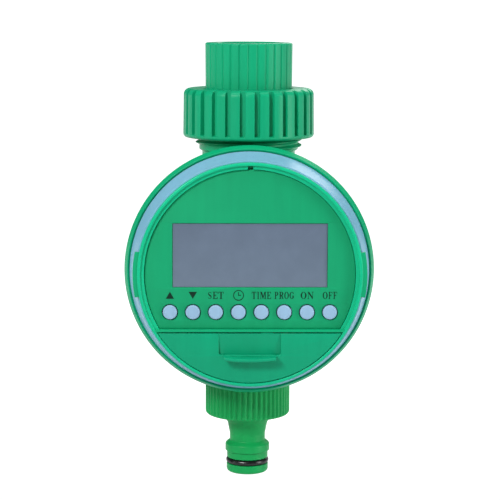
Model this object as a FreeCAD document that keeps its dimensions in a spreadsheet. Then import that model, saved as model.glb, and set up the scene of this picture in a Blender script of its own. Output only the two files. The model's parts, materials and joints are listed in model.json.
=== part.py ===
import FreeCAD, Part
import math
import os

import Sketcher
from fcgear import fcgear, involute

# Tap timer for drip irrigation.  Millimetres.  The origin is the centre of the tap thread's mouth,
# +Z points up into the tap, the timer hangs below it and its round dial faces -Y.
# Parts of the dial are drawn in a dial frame: x to the right, y up, z out of the dial's face.

SIZES = {
    # inlet: adaptor barrel, coupling nut and the neck that the nut screws on
    "barrel_radius": 17.2,
    "barrel_length": 20.9,
    "tap_minor_radius": 12.06,
    "tap_major_radius": 13.22,
    "tap_pitch": 1.814,
    "tap_thread_depth": 16.2,
    "tap_thread_start": 12.65,
    "flute_radius": 0.62,
    "flute_end": 2.6,
    "passage_radius": 7.5,
    "flange_radius": 20.4,
    "flange_bottom": 23.3,
    "nut_top": 17.8,
    "nut_bottom": 36.9,
    "nut_radius": 25.75,
    "nut_lip": 2.3,
    "nut_bore": 21.25,
    "nut_mouth": 17.25,
    "rib_groove_width": 2.05,
    "rib_groove_depth": 2.0,
    "neck_top": 25.5,
    "neck_radius": 18.3,
    "neck_bore": 14.0,
    "neck_major_radius": 20.95,
    "neck_minor_radius": 19.47,
    "neck_pitch": 2.309,
    "neck_thread_start": 40.1,
    "neck_thread_end": 41.6,
    "slip_ring_radius": 20.8,
    "slip_ring_bore": 17.3,
    "washer_seat_radius": 12.5,
    "washer_seat_height": 2.3,
    "tap_washer_radius": 12.35,
    "tap_washer_bore": 7.0,
    "union_seal_radius": 19.2,
    "union_seal_bore": 13.6,
    # dial and drum
    "dial_drop": 86.2,
    "rim_radius": 48.05,
    "rim_height": 26.0,
    "rim_inner_radius": 45.95,
    "drum_back_radius": 41.2,
    "drum_front_radius": 45.8,
    "drum_back": 14.0,
    "ledge_height": 28.0,
    "ledge_inner_radius": 43.6,
    "ledge_back": 22.0,
    "web_back": 11.7,
    "web_front": 13.2,
    "web_radius": 41.5,
    "cover_back": 21.0,
    "boss_circle": 33.5,
    "boss_radius": 4.0,
    "screw_radius": 1.5,
    "screw_head_radius": 2.8,
    "small_screw_radius": 1.0,
    "small_head_radius": 1.9,
    "small_boss_radius": 2.6,
    # valve
    "ball_radius": 9.0,
    "ball_bore": 5.5,
    "chamber_radius": 9.6,
    "pipe_radius": 12.2,
    "inlet_passage_radius": 6.0,
    "seat_inner": 5.2,
    "seat_outer": 9.65,
    "gland_radius": 6.6,
    "gland_bore": 4.8,
    "stem_hole_radius": 3.1,
    "stem_ring_radius": 3.96,
    "stem_ring_section": 0.83,
    "stem_radius": 2.95,
    "stem_end": 20.4,
    "slot_width": 3.0,
    "slot_floor": 6.5,
    # gear train
    "gear_module": 0.8,
    "small_teeth": 12,
    "idler_teeth": 30,
    "output_teeth": 36,
    "gear_slack": 0.15,
    "idler_angle": 35,
    "motor_angle": -50,
    "axle_radius": 1.0,
    "shaft_radius": 1.5,
    "gearbox_front": 25.8,
    "motor_back": -10.8,
    "motor_half_width": 6.0,
    "motor_half_height": 5.0,
    "lead_radius": 0.6,
    # control module
    "ring_radius": 42.7,
    "ring_inner_radius": 41.45,
    "ring_front": 41.0,
    "case_back": 28.4,
    "back_front": 30.0,
    "case_boss_circle": 37.4,
    "shelf_back": 37.2,
    "shelf_front": 38.9,
    "seat_back": 36.6,
    "partition_top": 19.6,
    "partition_bottom": 20.6,
    "plate_radius": 39.9,
    "plate_gap": 0.12,
    "plate_front": 39.0,
    "plate_thickness": 1.8,
    "plate_bottom": 20.65,
    "band_front": 39.95,
    "window_width": 58.6,
    "window_height": 24.4,
    "window_rise": 7.4,
    "glass_back": 35.2,
    "board_front": 34.0,
    "board_back": 32.4,
    "button_flange_radius": 3.45,
    "button_flange_back": 36.2,
    "button_flange_front": 36.9,
    "button_radius": 2.7,
    "button_hole_radius": 3.05,
    "button_pitch": 8.65,
    "button_drop": 14.25,
    "button_top": 39.9,
    "bar_top": 20.7,
    "bar_bottom": 21.65,
    "door_top": 22.1,
    "door_radius": 41.15,
    "door_thickness": 1.8,
    "scoop_width": 23.5,
    "tab_width": 19.9,
    "tab_top": 30.45,
    "tab_bottom": 32.4,
    "tab_reach": 46.0,
    "seal_foot_radius": 45.6,
    "seal_back": 28.3,
    "seal_front": 38.95,
    "cell_radius": 5.25,
    "cell_nub_radius": 1.9,
    "cell_length": 44.5,
    "cell_drop": 26.2,
    "front_cell": 32.9,
    "rear_cell": 22.1,
    "box_half_width": 26.8,
    "box_bottom": 33.1,
    "box_back": 15.6,
    "box_wall": 1.2,
    # outlet
    "spigot_bottom": 145.0,
    "skirt_top": 133.2,
    "skirt_bottom": 148.2,
    "skirt_radius": 16.9,
    "collar_radius": 8.85,
    "body_radius": 8.2,
    "tip_radius": 8.33,
    "nipple_neck_radius": 7.1,
    "collar_top": 11.55,
    "collar_bottom": 8.65,
    "groove_top": 5.85,
    "groove_bottom": 3.45,
    "groove_radius": 6.4,
    "nipple_ring_radius": 7.48,
    "nipple_ring_section": 1.12,
    "outlet_washer_radius": 12.9,
    "outlet_washer_bore": 8.2,
    "outlet_end": 172.1,
    "outlet_bore": 5.6,
}

NUT_RIBS = 28
BARREL_FLUTES = 30
SKIRT_RIBS = 50
FILTER_SLOTS = 12
HOOK_PLACES = (-4, 4)
BEYOND = 42  # past the control case's edge, for blocks that only trim
BUTTON_NAMES = ["up", "down", "set", "clock", "time", "program", "on", "off"]

os.makedirs("parts", exist_ok=True)
doc = FreeCAD.newDocument("tap_timer")
sheet = doc.addObject("Spreadsheet::Sheet", "Sizes")
for row, (alias, amount) in enumerate(SIZES.items(), start=1):
    sheet.set(f"A{row}", alias)
    sheet.set(f"B{row}", str(amount))
    sheet.setAlias(f"B{row}", alias)
doc.recompute()

nodes = {}


class Size:
    """A length together with the sheet expression that gives it."""

    def __init__(self, value, text):
        self.value = value
        self.text = text

    def __add__(self, other):
        return Size(self.value + number(other), f"({self.text} + {written(other)})")

    def __sub__(self, other):
        return Size(self.value - number(other), f"({self.text} - {written(other)})")

    def __mul__(self, factor):
        return Size(self.value * number(factor), f"({self.text} * {written(factor)})")

    def __neg__(self):
        return Size(-self.value, f"(0 - {self.text})")


def size(alias):
    return Size(float(sheet.get(alias)), f"Sizes.{alias}")


def number(amount):
    return amount.value if isinstance(amount, Size) else float(amount)


def written(amount):
    return amount.text if isinstance(amount, Size) else f"({amount})"


def bind(thing, prop, amount):
    """Sets a property to a number, or binds it to the sheet."""
    if isinstance(amount, Size):
        thing.setExpression(prop, amount.text)
    else:
        thing.setExpression(prop, str(amount))


DIAL = FreeCAD.Placement(
    FreeCAD.Vector(0, 0, -SIZES["dial_drop"]), FreeCAD.Rotation(FreeCAD.Vector(1, 0, 0), 90)
)


def placed(name, things, placement):
    """The things as one group, moved together from where the sheet puts them."""
    group = doc.addObject("Part::Compound", name)
    group.Links = things
    group.Placement = placement
    return group


def keep(node, thing, placement=None):
    """Names a finished sub-part and puts it where it belongs."""
    if placement is not None and thing.TypeId in ("Part::Box", "Part::Cylinder"):
        thing.Label = f"{node}_blank"
        thing = placed(node, [thing], placement)
    elif placement is not None:
        thing.Placement = placement.multiply(thing.Placement)
    thing.Label = node
    nodes[node] = thing
    return thing


# ---- sketches and bodies ---------------------------------------------------------------------------


def origin_plane(body, role):
    return next(item for item in body.Origin.OriginFeatures if item.Role == role)


def sketch_on(body, name, role, offset=0):
    sketch = body.newObject("Sketcher::SketchObject", name)
    sketch.AttachmentSupport = [(origin_plane(body, role), "")]
    sketch.MapMode = "FlatFace"
    if number(offset):
        bind(sketch, "AttachmentOffset.Base.z", offset)
    return sketch


def pin_point(sketch, geometry, place, x, y):
    """Holds a point of the sketch at (x, y)."""
    for kind, amount, axis in (("DistanceX", x, -2), ("DistanceY", y, -1)):
        if number(amount) == 0:
            sketch.addConstraint(Sketcher.Constraint("PointOnObject", geometry, place, axis))
        else:
            rule = Sketcher.Constraint(kind, -1, 1, geometry, place, number(amount))
            index = sketch.addConstraint(rule)
            if isinstance(amount, Size):
                sketch.setExpression(f"Constraints[{index}]", amount.text)


def outline(sketch, corners):
    """A closed outline of straight lines through (x, y) corners."""
    points = [FreeCAD.Vector(number(x), number(y), 0) for x, y in corners]
    count = len(points)
    lines = [
        sketch.addGeometry(Part.LineSegment(points[k], points[(k + 1) % count])) for k in range(count)
    ]
    for k, (x, y) in enumerate(corners):
        sketch.addConstraint(Sketcher.Constraint("Coincident", lines[k - 1], 2, lines[k], 1))
        pin_point(sketch, lines[k], 1, x, y)


def circle_edge(shape, radius, height):
    """The name of the circular edge about z with this radius at this height."""
    for k, edge in enumerate(shape.Edges, start=1):
        curve = edge.Curve
        if isinstance(curve, Part.Circle):
            off = abs(curve.Radius - radius) + abs(curve.Center.z - height)
            if off + math.hypot(curve.Center.x, curve.Center.y) < 1e-4:
                return f"Edge{k}"
    raise LookupError(f"no edge of radius {radius} at height {height}")


def turned(name, corners):
    """A body turned about its own z axis from (radius, height) corners.

    A corner with a third value is rounded to that radius.
    """
    body = doc.addObject("PartDesign::Body", name)
    sketch = sketch_on(body, f"{name}_profile", "XZ_Plane")
    outline(sketch, [corner[:2] for corner in corners])
    feature = body.newObject("PartDesign::Revolution", f"{name}_turned")
    feature.Profile = sketch
    feature.ReferenceAxis = (sketch, ["V_Axis"])
    feature.Angle = 360
    body.Tip = feature
    rounds = {}
    for corner in corners:
        if len(corner) == 3:
            rounds.setdefault(corner[2], []).append((number(corner[0]), number(corner[1])))
    for radius, places in rounds.items():
        doc.recompute()
        base = body.Tip
        fillet = body.newObject("PartDesign::Fillet", f"{name}_round")
        fillet.Base = (base, [circle_edge(base.Shape, x, y) for x, y in places])
        bind(fillet, "Radius", radius)
        body.Tip = fillet
    return body


def padded(name, corners, start, end, role="XY_Plane"):
    """A body padded from an outline, from one height to another along the plane's normal."""
    body = doc.addObject("PartDesign::Body", name)
    sketch = sketch_on(body, f"{name}_outline", role, start)
    outline(sketch, corners)
    feature = body.newObject("PartDesign::Pad", f"{name}_pad")
    feature.Profile = sketch
    bind(feature, "Length", end - start if isinstance(end, Size) else end - number(start))
    body.Tip = feature
    return body


def add_thread(body, name, corners, pitch, turns):
    """A right-hand helical ridge about z, from its section at angle zero."""
    sketch = sketch_on(body, f"{name}_section", "XZ_Plane")
    outline(sketch, corners)
    feature = body.newObject("PartDesign::AdditiveHelix", name)
    feature.Profile = sketch
    feature.ReferenceAxis = (sketch, ["V_Axis"])
    feature.Mode = "pitch-turns-angle"
    bind(feature, "Pitch", pitch)
    bind(feature, "Turns", turns)
    body.Tip = feature
    doc.recompute()
    return feature


def groove_round(body, name, draw, start, length, count):
    """Cuts one groove parallel to z and repeats it around the body."""
    doc.recompute()
    solid_before = body.Shape.Volume
    sketch = sketch_on(body, f"{name}_section", "XY_Plane", start)
    draw(sketch)
    pocket = body.newObject("PartDesign::Pocket", name)
    pocket.Profile = sketch
    pocket.Reversed = True
    bind(pocket, "Length", length)
    pattern = body.newObject("PartDesign::PolarPattern", f"{name}_pattern")
    pattern.Originals = [pocket]
    pattern.Axis = (sketch, ["N_Axis"])
    pattern.Angle = 360
    pattern.Occurrences = count
    body.Tip = pattern
    doc.recompute()
    assert body.Shape.Volume < solid_before - 1, f"{name} cuts nothing"


def round_groove(radius, distance, turn=0):
    """Draws a small circle centred a distance from the axis, turned by an angle in degrees."""

    def draw(sketch):
        x = distance * math.cos(math.radians(turn))
        y = distance * math.sin(math.radians(turn))
        pin = sketch.addGeometry(Part.Circle(FreeCAD.Vector(number(x), number(y), 0),
                                             FreeCAD.Vector(0, 0, 1), radius))
        pin_point(sketch, pin, 3, x, y)
        sketch.addConstraint(Sketcher.Constraint("Radius", pin, radius))

    return draw


# ---- primitives and booleans -----------------------------------------------------------------------


def cylinder(name, radius, start, end, x=0, y=0):
    """A cylinder along z from one height to another."""
    thing = doc.addObject("Part::Cylinder", name)
    bind(thing, "Radius", radius)
    bind(thing, "Height", end - start if isinstance(end, Size) else -(start - end))
    for axis, amount in zip("xyz", (x, y, start)):
        bind(thing, f"Placement.Base.{axis}", amount)
    return thing


def box(name, x, y, z):
    """A box between two corners, given as (low, high) pairs."""
    thing = doc.addObject("Part::Box", name)
    for prop, axis, (low, high) in zip(("Length", "Width", "Height"), "xyz", (x, y, z)):
        bind(thing, prop, high - low if isinstance(high, Size) else -(low - high))
        bind(thing, f"Placement.Base.{axis}", low)
    return thing


def fused(name, things):
    if len(things) == 1:
        return things[0]
    thing = doc.addObject("Part::MultiFuse", name)
    thing.Shapes = things
    return thing


def cut(name, base, tools):
    thing = doc.addObject("Part::Cut", name)
    thing.Base = base
    thing.Tool = fused(f"{name}_tools", tools)
    return thing


def common(name, things):
    thing = doc.addObject("Part::MultiCommon", name)
    thing.Shapes = things
    return thing


def tube(name, outer, inner, start, end, x=0, y=0):
    hole = cylinder(f"{name}_hole", inner, start, end, x, y)
    return cut(name, cylinder(f"{name}_outer", outer, start, end, x, y), [hole])


def around(count, radius, first_angle):
    """Points evenly spaced on a circle."""
    for k in range(count):
        angle = math.radians(first_angle + 360 * k / count)
        yield radius * math.cos(angle), radius * math.sin(angle)


def shaped(name, shape):
    """A document object that holds a shape made in code."""
    thing = doc.addObject("Part::Feature", name)
    thing.Shape = shape
    return thing


# ---- inlet: adaptor, slip ring and coupling nut ----------------------------------------------------


def make_inlet_adaptor():
    bottom = -size("flange_bottom")
    seat = -size("tap_thread_depth")
    barrel_end = -size("barrel_length")
    body = turned("inlet_adaptor", [
        (size("tap_minor_radius") + 0.3, 0),
        (size("barrel_radius"), 0, 0.7),
        (size("barrel_radius") - 0.15, barrel_end),
        (size("flange_radius"), barrel_end, 0.4),
        (size("flange_radius"), bottom, 0.4),
        (size("passage_radius"), bottom),
        (size("passage_radius"), seat),
        (size("washer_seat_radius"), seat),
        (size("washer_seat_radius"), seat + size("washer_seat_height")),
        (size("tap_minor_radius"), seat + size("washer_seat_height")),
        (size("tap_minor_radius"), -0.3),
    ])
    flute = round_groove(SIZES["flute_radius"], size("barrel_radius") + 0.2, turn=-91.6)
    groove_round(body, "barrel_flutes", flute, barrel_end + size("flute_end"), size("barrel_length"),
                 BARREL_FLUTES)
    sketch = sketch_on(body, "tap_thread_section", "XZ_Plane")
    mouth = size("tap_minor_radius") - 0.2
    middle = -size("tap_thread_start")
    outline(sketch, [
        (mouth, middle - 0.72),
        (size("tap_major_radius"), middle - 0.08),
        (size("tap_major_radius"), middle + 0.08),
        (mouth, middle + 0.72),
    ])
    groove = body.newObject("PartDesign::SubtractiveHelix", "tap_thread")
    groove.Profile = sketch
    groove.ReferenceAxis = (sketch, ["V_Axis"])
    groove.Mode = "pitch-turns-angle"
    bind(groove, "Pitch", size("tap_pitch"))
    groove.Turns = 6
    body.Tip = groove
    keep("inlet_adaptor", body)
    washer = tube("tap_washer", size("tap_washer_radius"), size("tap_washer_bore"), seat + 0.02, seat + 2.0)
    keep("tap_washer", washer)


def make_coupling_nut():
    top = -size("nut_top")
    bottom = -size("nut_bottom")
    lip = top - size("nut_lip")
    body = turned("coupling_nut", [
        (size("nut_mouth"), top, 0.3),
        (size("nut_radius") - 0.15, top, 2.4),
        (size("nut_radius") + 0.05, bottom, 1.2),
        (size("nut_bore") + 0.6, bottom),
        (size("nut_bore"), bottom + 0.7),
        (size("nut_bore"), lip),
        (size("nut_mouth"), lip),
    ])
    half = size("rib_groove_width") * 0.5
    floor = size("nut_radius") - size("rib_groove_depth")
    beyond = size("nut_radius") + 3

    def draw(sketch):
        corners = [(floor, -half), (beyond, -half), (beyond, half), (floor, half)]
        turned_corners = []
        angle = math.radians(90 + 180 / NUT_RIBS)
        for x, y in corners:
            along = x * math.cos(angle) - y * math.sin(angle)
            across = x * math.sin(angle) + y * math.cos(angle)
            turned_corners.append((along, across))
        outline(sketch, turned_corners)

    groove_round(body, "rib_grooves", draw, bottom + 1.6, size("nut_bottom"), NUT_RIBS)
    # the nut's ridge runs midway between the turns of the neck's ridge
    middle = -size("neck_thread_start") + size("neck_pitch") * 2.5
    root = size("nut_bore") + 0.15
    crest = size("neck_minor_radius") + 0.3
    add_thread(body, "nut_thread", [
        (root, middle - 1.03),
        (root, middle + 1.03),
        (crest, middle + 0.17),
        (crest, middle - 0.17),
    ], size("neck_pitch"), 2)
    keep("coupling_nut", body)
    ring = tube("slip_ring", size("slip_ring_radius"), size("slip_ring_bore"), lip - 0.75, lip - 0.05)
    keep("slip_ring", ring)


# ---- valve body ------------------------------------------------------------------------------------


def make_pipe_wall():
    """The neck, the valve chamber and the outlet spigot, solid, with their outer threads."""
    neck_top = -size("neck_top")
    shoulder = -size("neck_thread_end")
    drum_top = -size("dial_drop") + 42
    waist = size("ball_radius")
    flange = -size("skirt_top") + 3.4
    body = turned("pipe_wall", [
        (0, neck_top),
        (size("neck_minor_radius"), neck_top, 0.5),
        (size("neck_minor_radius"), shoulder),
        (size("neck_radius"), shoulder - 0.8),
        (size("neck_radius"), drum_top),
        (13, drum_top),
        (waist, drum_top - 8),
        (waist, drum_top - 28),
        (size("pipe_radius"), drum_top - 31),
        (size("pipe_radius"), flange),
        (15.6, flange),
        (15.6, -size("skirt_top") + 0.3),
        (size("tap_minor_radius"), -size("skirt_top") + 0.3),
        (size("tap_minor_radius"), -size("spigot_bottom")),
        (0, -size("spigot_bottom")),
    ])
    start = -size("neck_thread_start")
    root = size("neck_minor_radius") - 0.2
    add_thread(body, "neck_thread", [
        (root, start - 1.0),
        (size("neck_major_radius"), start - 0.15),
        (size("neck_major_radius"), start + 0.15),
        (root, start + 1.0),
    ], size("neck_pitch"), 5.7)
    low = -size("spigot_bottom") + 1.3
    add_thread(body, "spigot_thread", [
        (size("tap_minor_radius") - 0.2, low - 0.8),
        (size("tap_major_radius") - 0.1, low - 0.1),
        (size("tap_major_radius") - 0.1, low + 0.1),
        (size("tap_minor_radius") - 0.2, low + 0.8),
    ], size("tap_pitch"), 5)
    return body


def make_pipe_bore():
    """The water's way through the pipe, as a solid to cut away."""
    chamber = -size("dial_drop") + 9.7
    neck_top = -size("neck_top")
    return turned("pipe_bore", [
        (0, neck_top + 1),
        (size("neck_bore"), neck_top + 1),
        (size("neck_bore"), neck_top - 9),
        (size("inlet_passage_radius"), neck_top - 17),
        (size("inlet_passage_radius"), chamber),
        (size("chamber_radius"), chamber),
        (size("chamber_radius"), -size("spigot_bottom") - 1),
        (0, -size("spigot_bottom") - 1),
    ])


def make_drum():
    """The round drum behind the dial, with its rim, the ledge for the seal and the cross web."""
    back = -size("drum_back")
    rim = size("rim_radius")
    drum = turned("drum_shell", [
        (size("drum_back_radius") - 2.0, back),
        (size("drum_back_radius"), back),
        (size("drum_front_radius"), size("ledge_back")),
        (rim - 0.3, size("rim_height") - 1.4, 2),
        (rim, size("rim_height")),
        (rim - 1.35, size("rim_height") + 2.9, 0.25),
        (size("rim_inner_radius"), size("ledge_height") + 0.1),
        (size("rim_inner_radius"), size("ledge_height")),
        (size("ledge_inner_radius"), size("ledge_height")),
        (size("ledge_inner_radius"), size("ledge_back")),
    ])
    web = cylinder("drum_web", size("web_radius"), size("web_back"), size("web_front"))
    gland = cylinder("gland_boss", size("gland_radius"), 8.0, size("web_front"))
    posts = [
        cylinder(f"cover_post_{k}", size("boss_radius"), back, size("web_front"), x, y)
        for k, (x, y) in enumerate(around(4, SIZES["boss_circle"], 45))
    ]
    thing = fused("drum", [drum, web, gland] + posts)
    thing.Placement = DIAL
    return thing


def make_housing_holes():
    """Everything drilled along the dial's axis."""
    motor_x, motor_y = motor_centre()
    across = SIZES["motor_half_width"] + 0.15
    along = SIZES["motor_half_height"] + 0.15
    holes = [
        cylinder("stem_hole", size("stem_hole_radius"), 4, size("web_front") + 1),
        cylinder("gland_bore", size("gland_bore"), 9.8, size("web_front") + 1),
        box("motor_opening", (motor_x - across, motor_x + across), (motor_y - along, motor_y + along),
            (8, 14)),
        box("lead_opening", (-31, -25), (-7.5, 3.5), (8, 14)),
    ]
    for k, (x, y) in enumerate(around(4, SIZES["boss_circle"], 45)):
        holes.append(cylinder(f"cover_pilot_{k}", size("screw_radius"), -15, -1, x, y))
    for k, (x, y) in enumerate(GEARBOX_SCREWS):
        holes.append(cylinder(f"gearbox_pilot_{k}", size("small_screw_radius"), 10, 14, x, y))
    thing = fused("housing_holes", holes)
    thing.Placement = DIAL
    return thing


def make_valve_housing():
    walls = fused("housing_walls", [make_pipe_wall(), make_drum()])
    keep("valve_housing", cut("valve_housing", walls, [make_pipe_bore(), make_housing_holes()]))


def make_rear_cover():
    back = -size("cover_back")
    edge = -size("drum_back") - 0.8
    radius = size("drum_back_radius") - 0.3
    shell = turned("cover_shell", [
        (0, back),
        (radius, back, 5.5),
        (radius, edge, 0.5),
        (radius - 2.4, edge),
        (radius - 2.4, back + 3.4),
        (radius - 5.4, back + 2.2),
        (0, back + 2.2),
    ])
    posts = []
    holes = []
    screws = []
    for k, (x, y) in enumerate(around(4, SIZES["boss_circle"], 45)):
        posts.append(cylinder(f"lid_post_{k}", size("boss_radius"), back + 2.0, -size("drum_back"), x, y))
        holes.append(cylinder(f"lid_hole_{k}", size("screw_radius"), back - 1, -12, x, y))
        holes.append(cylinder(f"lid_sink_{k}", size("screw_head_radius") + 0.2, back - 1, back + 2.0, x, y))
        screws.append(cylinder(f"lid_head_{k}", size("screw_head_radius"), back + 0.2, back + 2.0, x, y))
        screws.append(cylinder(f"lid_shank_{k}", size("screw_radius"), back + 2.0, -3, x, y))
    keep("rear_cover", cut("rear_cover", fused("cover_walls", [shell] + posts), holes), DIAL)
    keep("rear_cover_screws", fused("rear_cover_screws", screws), DIAL)
    seal = tube("rear_cover_seal", radius - 0.2, radius - 2.3, edge, -size("drum_back"))
    keep("rear_cover_seal", seal, DIAL)


def make_neck_fittings():
    top = -size("neck_top")
    keep("union_seal", tube("union_seal", size("union_seal_radius"), size("union_seal_bore"), top, top + 2.1))
    cup = turned("filter_cup", [
        (0, top - 8.2),
        (9.0, top - 8.2, 1.5),
        (13.0, top - 1.0),
        (13.9, top - 1.0),
        (13.9, top - 0.05),
        (12.3, top - 0.05),
        (8.5, top - 7.3),
        (0, top - 7.3),
    ])
    slots = []
    for k in range(FILTER_SLOTS):
        slot = box(f"filter_slot_{k}", (5.2, 13.2), (-0.6, 0.6), (top - 9.2, top - 2.0))
        turn = FreeCAD.Rotation(FreeCAD.Vector(0, 0, 1), 360 / FILTER_SLOTS * k)
        slots.append(placed(f"turned_slot_{k}", [slot], FreeCAD.Placement(FreeCAD.Vector(), turn)))
    keep("inlet_filter", cut("inlet_filter", cup, slots))


# ---- ball valve ------------------------------------------------------------------------------------


def sphere(name, radius):
    thing = doc.addObject("Part::Sphere", name)
    bind(thing, "Radius", radius)
    return thing


def make_ball_valve():
    """The ball is drawn about its own centre, closed: its bore lies across the pipe."""
    centre = FreeCAD.Placement(FreeCAD.Vector(0, 0, -SIZES["dial_drop"]), FreeCAD.Rotation())
    outer = size("chamber_radius") - 0.1
    near = size("seat_inner")
    far = size("seat_outer")
    for side, low, high in (("upper", near, far), ("lower", -far, -near)):
        ring = tube(f"{side}_seat_ring", outer, size("ball_bore") + 0.1, low, high)
        seat = cut(f"{side}_ball_seat", ring, [sphere(f"{side}_seat_hollow", size("ball_radius") + 0.12)])
        keep(f"{side}_ball_seat", seat, centre)
    retainer = tube("seat_retainer", outer, size("ball_bore") + 0.1, -13.2, -9.7)
    keep("seat_retainer", retainer, centre)
    across = FreeCAD.Placement(FreeCAD.Vector(), FreeCAD.Rotation(FreeCAD.Vector(0, 1, 0), 90))
    bore = placed("ball_bore_across", [cylinder("ball_waterway", size("ball_bore"), -10, 10)], across)
    half = size("slot_width") * 0.5
    slot = box("ball_slot", (-half, half), (-10, 10), (size("slot_floor"), 10))
    keep("valve_ball", cut("valve_ball", sphere("ball", size("ball_radius")), [bore, slot]), DIAL)
    tongue = box("stem_tongue", (-half, half), (-2.4, 2.4), (size("slot_floor"), 9.4))
    shank = cylinder("stem_shank", size("stem_radius"), 9.2, size("stem_end"))
    keep("valve_stem", fused("valve_stem", [tongue, shank]), DIAL)
    rings = []
    for k, height in enumerate((10.7, 12.4)):
        ring = doc.addObject("Part::Torus", f"stem_ring_{k}")
        bind(ring, "Radius1", size("stem_ring_radius"))
        bind(ring, "Radius2", size("stem_ring_section"))
        ring.Placement = FreeCAD.Placement(FreeCAD.Vector(0, 0, height), FreeCAD.Rotation())
        rings.append(ring)
    keep("stem_o_rings", fused("stem_o_rings", rings), DIAL)
    gland = tube("gland_nut", size("gland_bore") - 0.02, size("stem_hole_radius"), 13.3, 15.2)
    keep("gland_nut", gland, DIAL)


# ---- gear train ------------------------------------------------------------------------------------

GEARBOX_SCREWS = [(-14.5, 12.0), (-14.5, -14.5), (33.0, 6.5)]
GEARBOX_CORNERS = [(-18, -17.5), (30, -17.5), (37, -9), (37, 6), (27, 25.5), (2, 25.5), (-18, 15)]


def gear_distance(first, second):
    """Distance between two gears' axles, with a little slack for the teeth."""
    return SIZES["gear_module"] * (first + second) / 2 + SIZES["gear_slack"]


def idler_centre():
    reach = gear_distance(SIZES["output_teeth"], SIZES["small_teeth"])
    angle = math.radians(SIZES["idler_angle"])
    return reach * math.cos(angle), reach * math.sin(angle)


def motor_centre():
    reach = gear_distance(SIZES["idler_teeth"], SIZES["small_teeth"])
    angle = math.radians(SIZES["motor_angle"])
    x, y = idler_centre()
    return x + reach * math.cos(angle), y + reach * math.sin(angle)


def gear_shape(teeth, start, end, bore, turn):
    """An involute gear along z, turned by an angle in degrees."""
    builder = fcgear.FCWireBuilder()
    involute.CreateExternalGear(builder, SIZES["gear_module"], int(teeth), 20, True)
    wire = Part.Wire([edge.toShape() for edge in builder.wire])
    solid = Part.Face(wire).extrude(FreeCAD.Vector(0, 0, end - start))
    solid = solid.cut(Part.makeCylinder(bore, end - start))
    solid.rotate(FreeCAD.Vector(), FreeCAD.Vector(0, 0, 1), turn)
    solid.translate(FreeCAD.Vector(0, 0, start))
    return solid


def meshing_turn(teeth, turn, other_teeth, angle):
    """How far the other gear is turned for its gap to face a tooth, in degrees."""
    ratio = teeth / other_teeth
    half_tooth = 180 / other_teeth
    return angle + 180 + (angle - turn) * ratio + half_tooth


def make_gears():
    output, idler, small = (int(SIZES[name]) for name in ("output_teeth", "idler_teeth", "small_teeth"))
    stem = SIZES["stem_radius"]
    hub = Part.makeCylinder(5.2, 1.0, FreeCAD.Vector(0, 0, 15.6)).cut(
        Part.makeCylinder(stem, 1.0, FreeCAD.Vector(0, 0, 15.6)))
    wheel = gear_shape(output, 16.6, 19.6, stem, 0).fuse(hub)
    keep("output_gear", shaped("output_gear", wheel), DIAL)

    idler_turn = meshing_turn(output, 0, small, SIZES["idler_angle"])
    bore = SIZES["axle_radius"] + 0.06
    pinion = gear_shape(small, 15.4, 20.4, bore, idler_turn)
    wheel = gear_shape(idler, 20.4, 22.8, bore, idler_turn)
    x, y = idler_centre()
    place = DIAL.multiply(FreeCAD.Placement(FreeCAD.Vector(x, y, 0), FreeCAD.Rotation()))
    keep("idler_gear", shaped("idler_gear", pinion.fuse(wheel)), place)

    motor_turn = meshing_turn(idler, idler_turn, small, SIZES["motor_angle"])
    pinion = gear_shape(small, 20.6, 23.2, SIZES["shaft_radius"], motor_turn)
    x, y = motor_centre()
    place = DIAL.multiply(FreeCAD.Placement(FreeCAD.Vector(x, y, 0), FreeCAD.Rotation()))
    keep("motor_pinion", shaped("motor_pinion", pinion), place)
    keep("motor_shaft", cylinder("motor_shaft", size("shaft_radius"), 10.2, 23.2), place)


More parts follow.
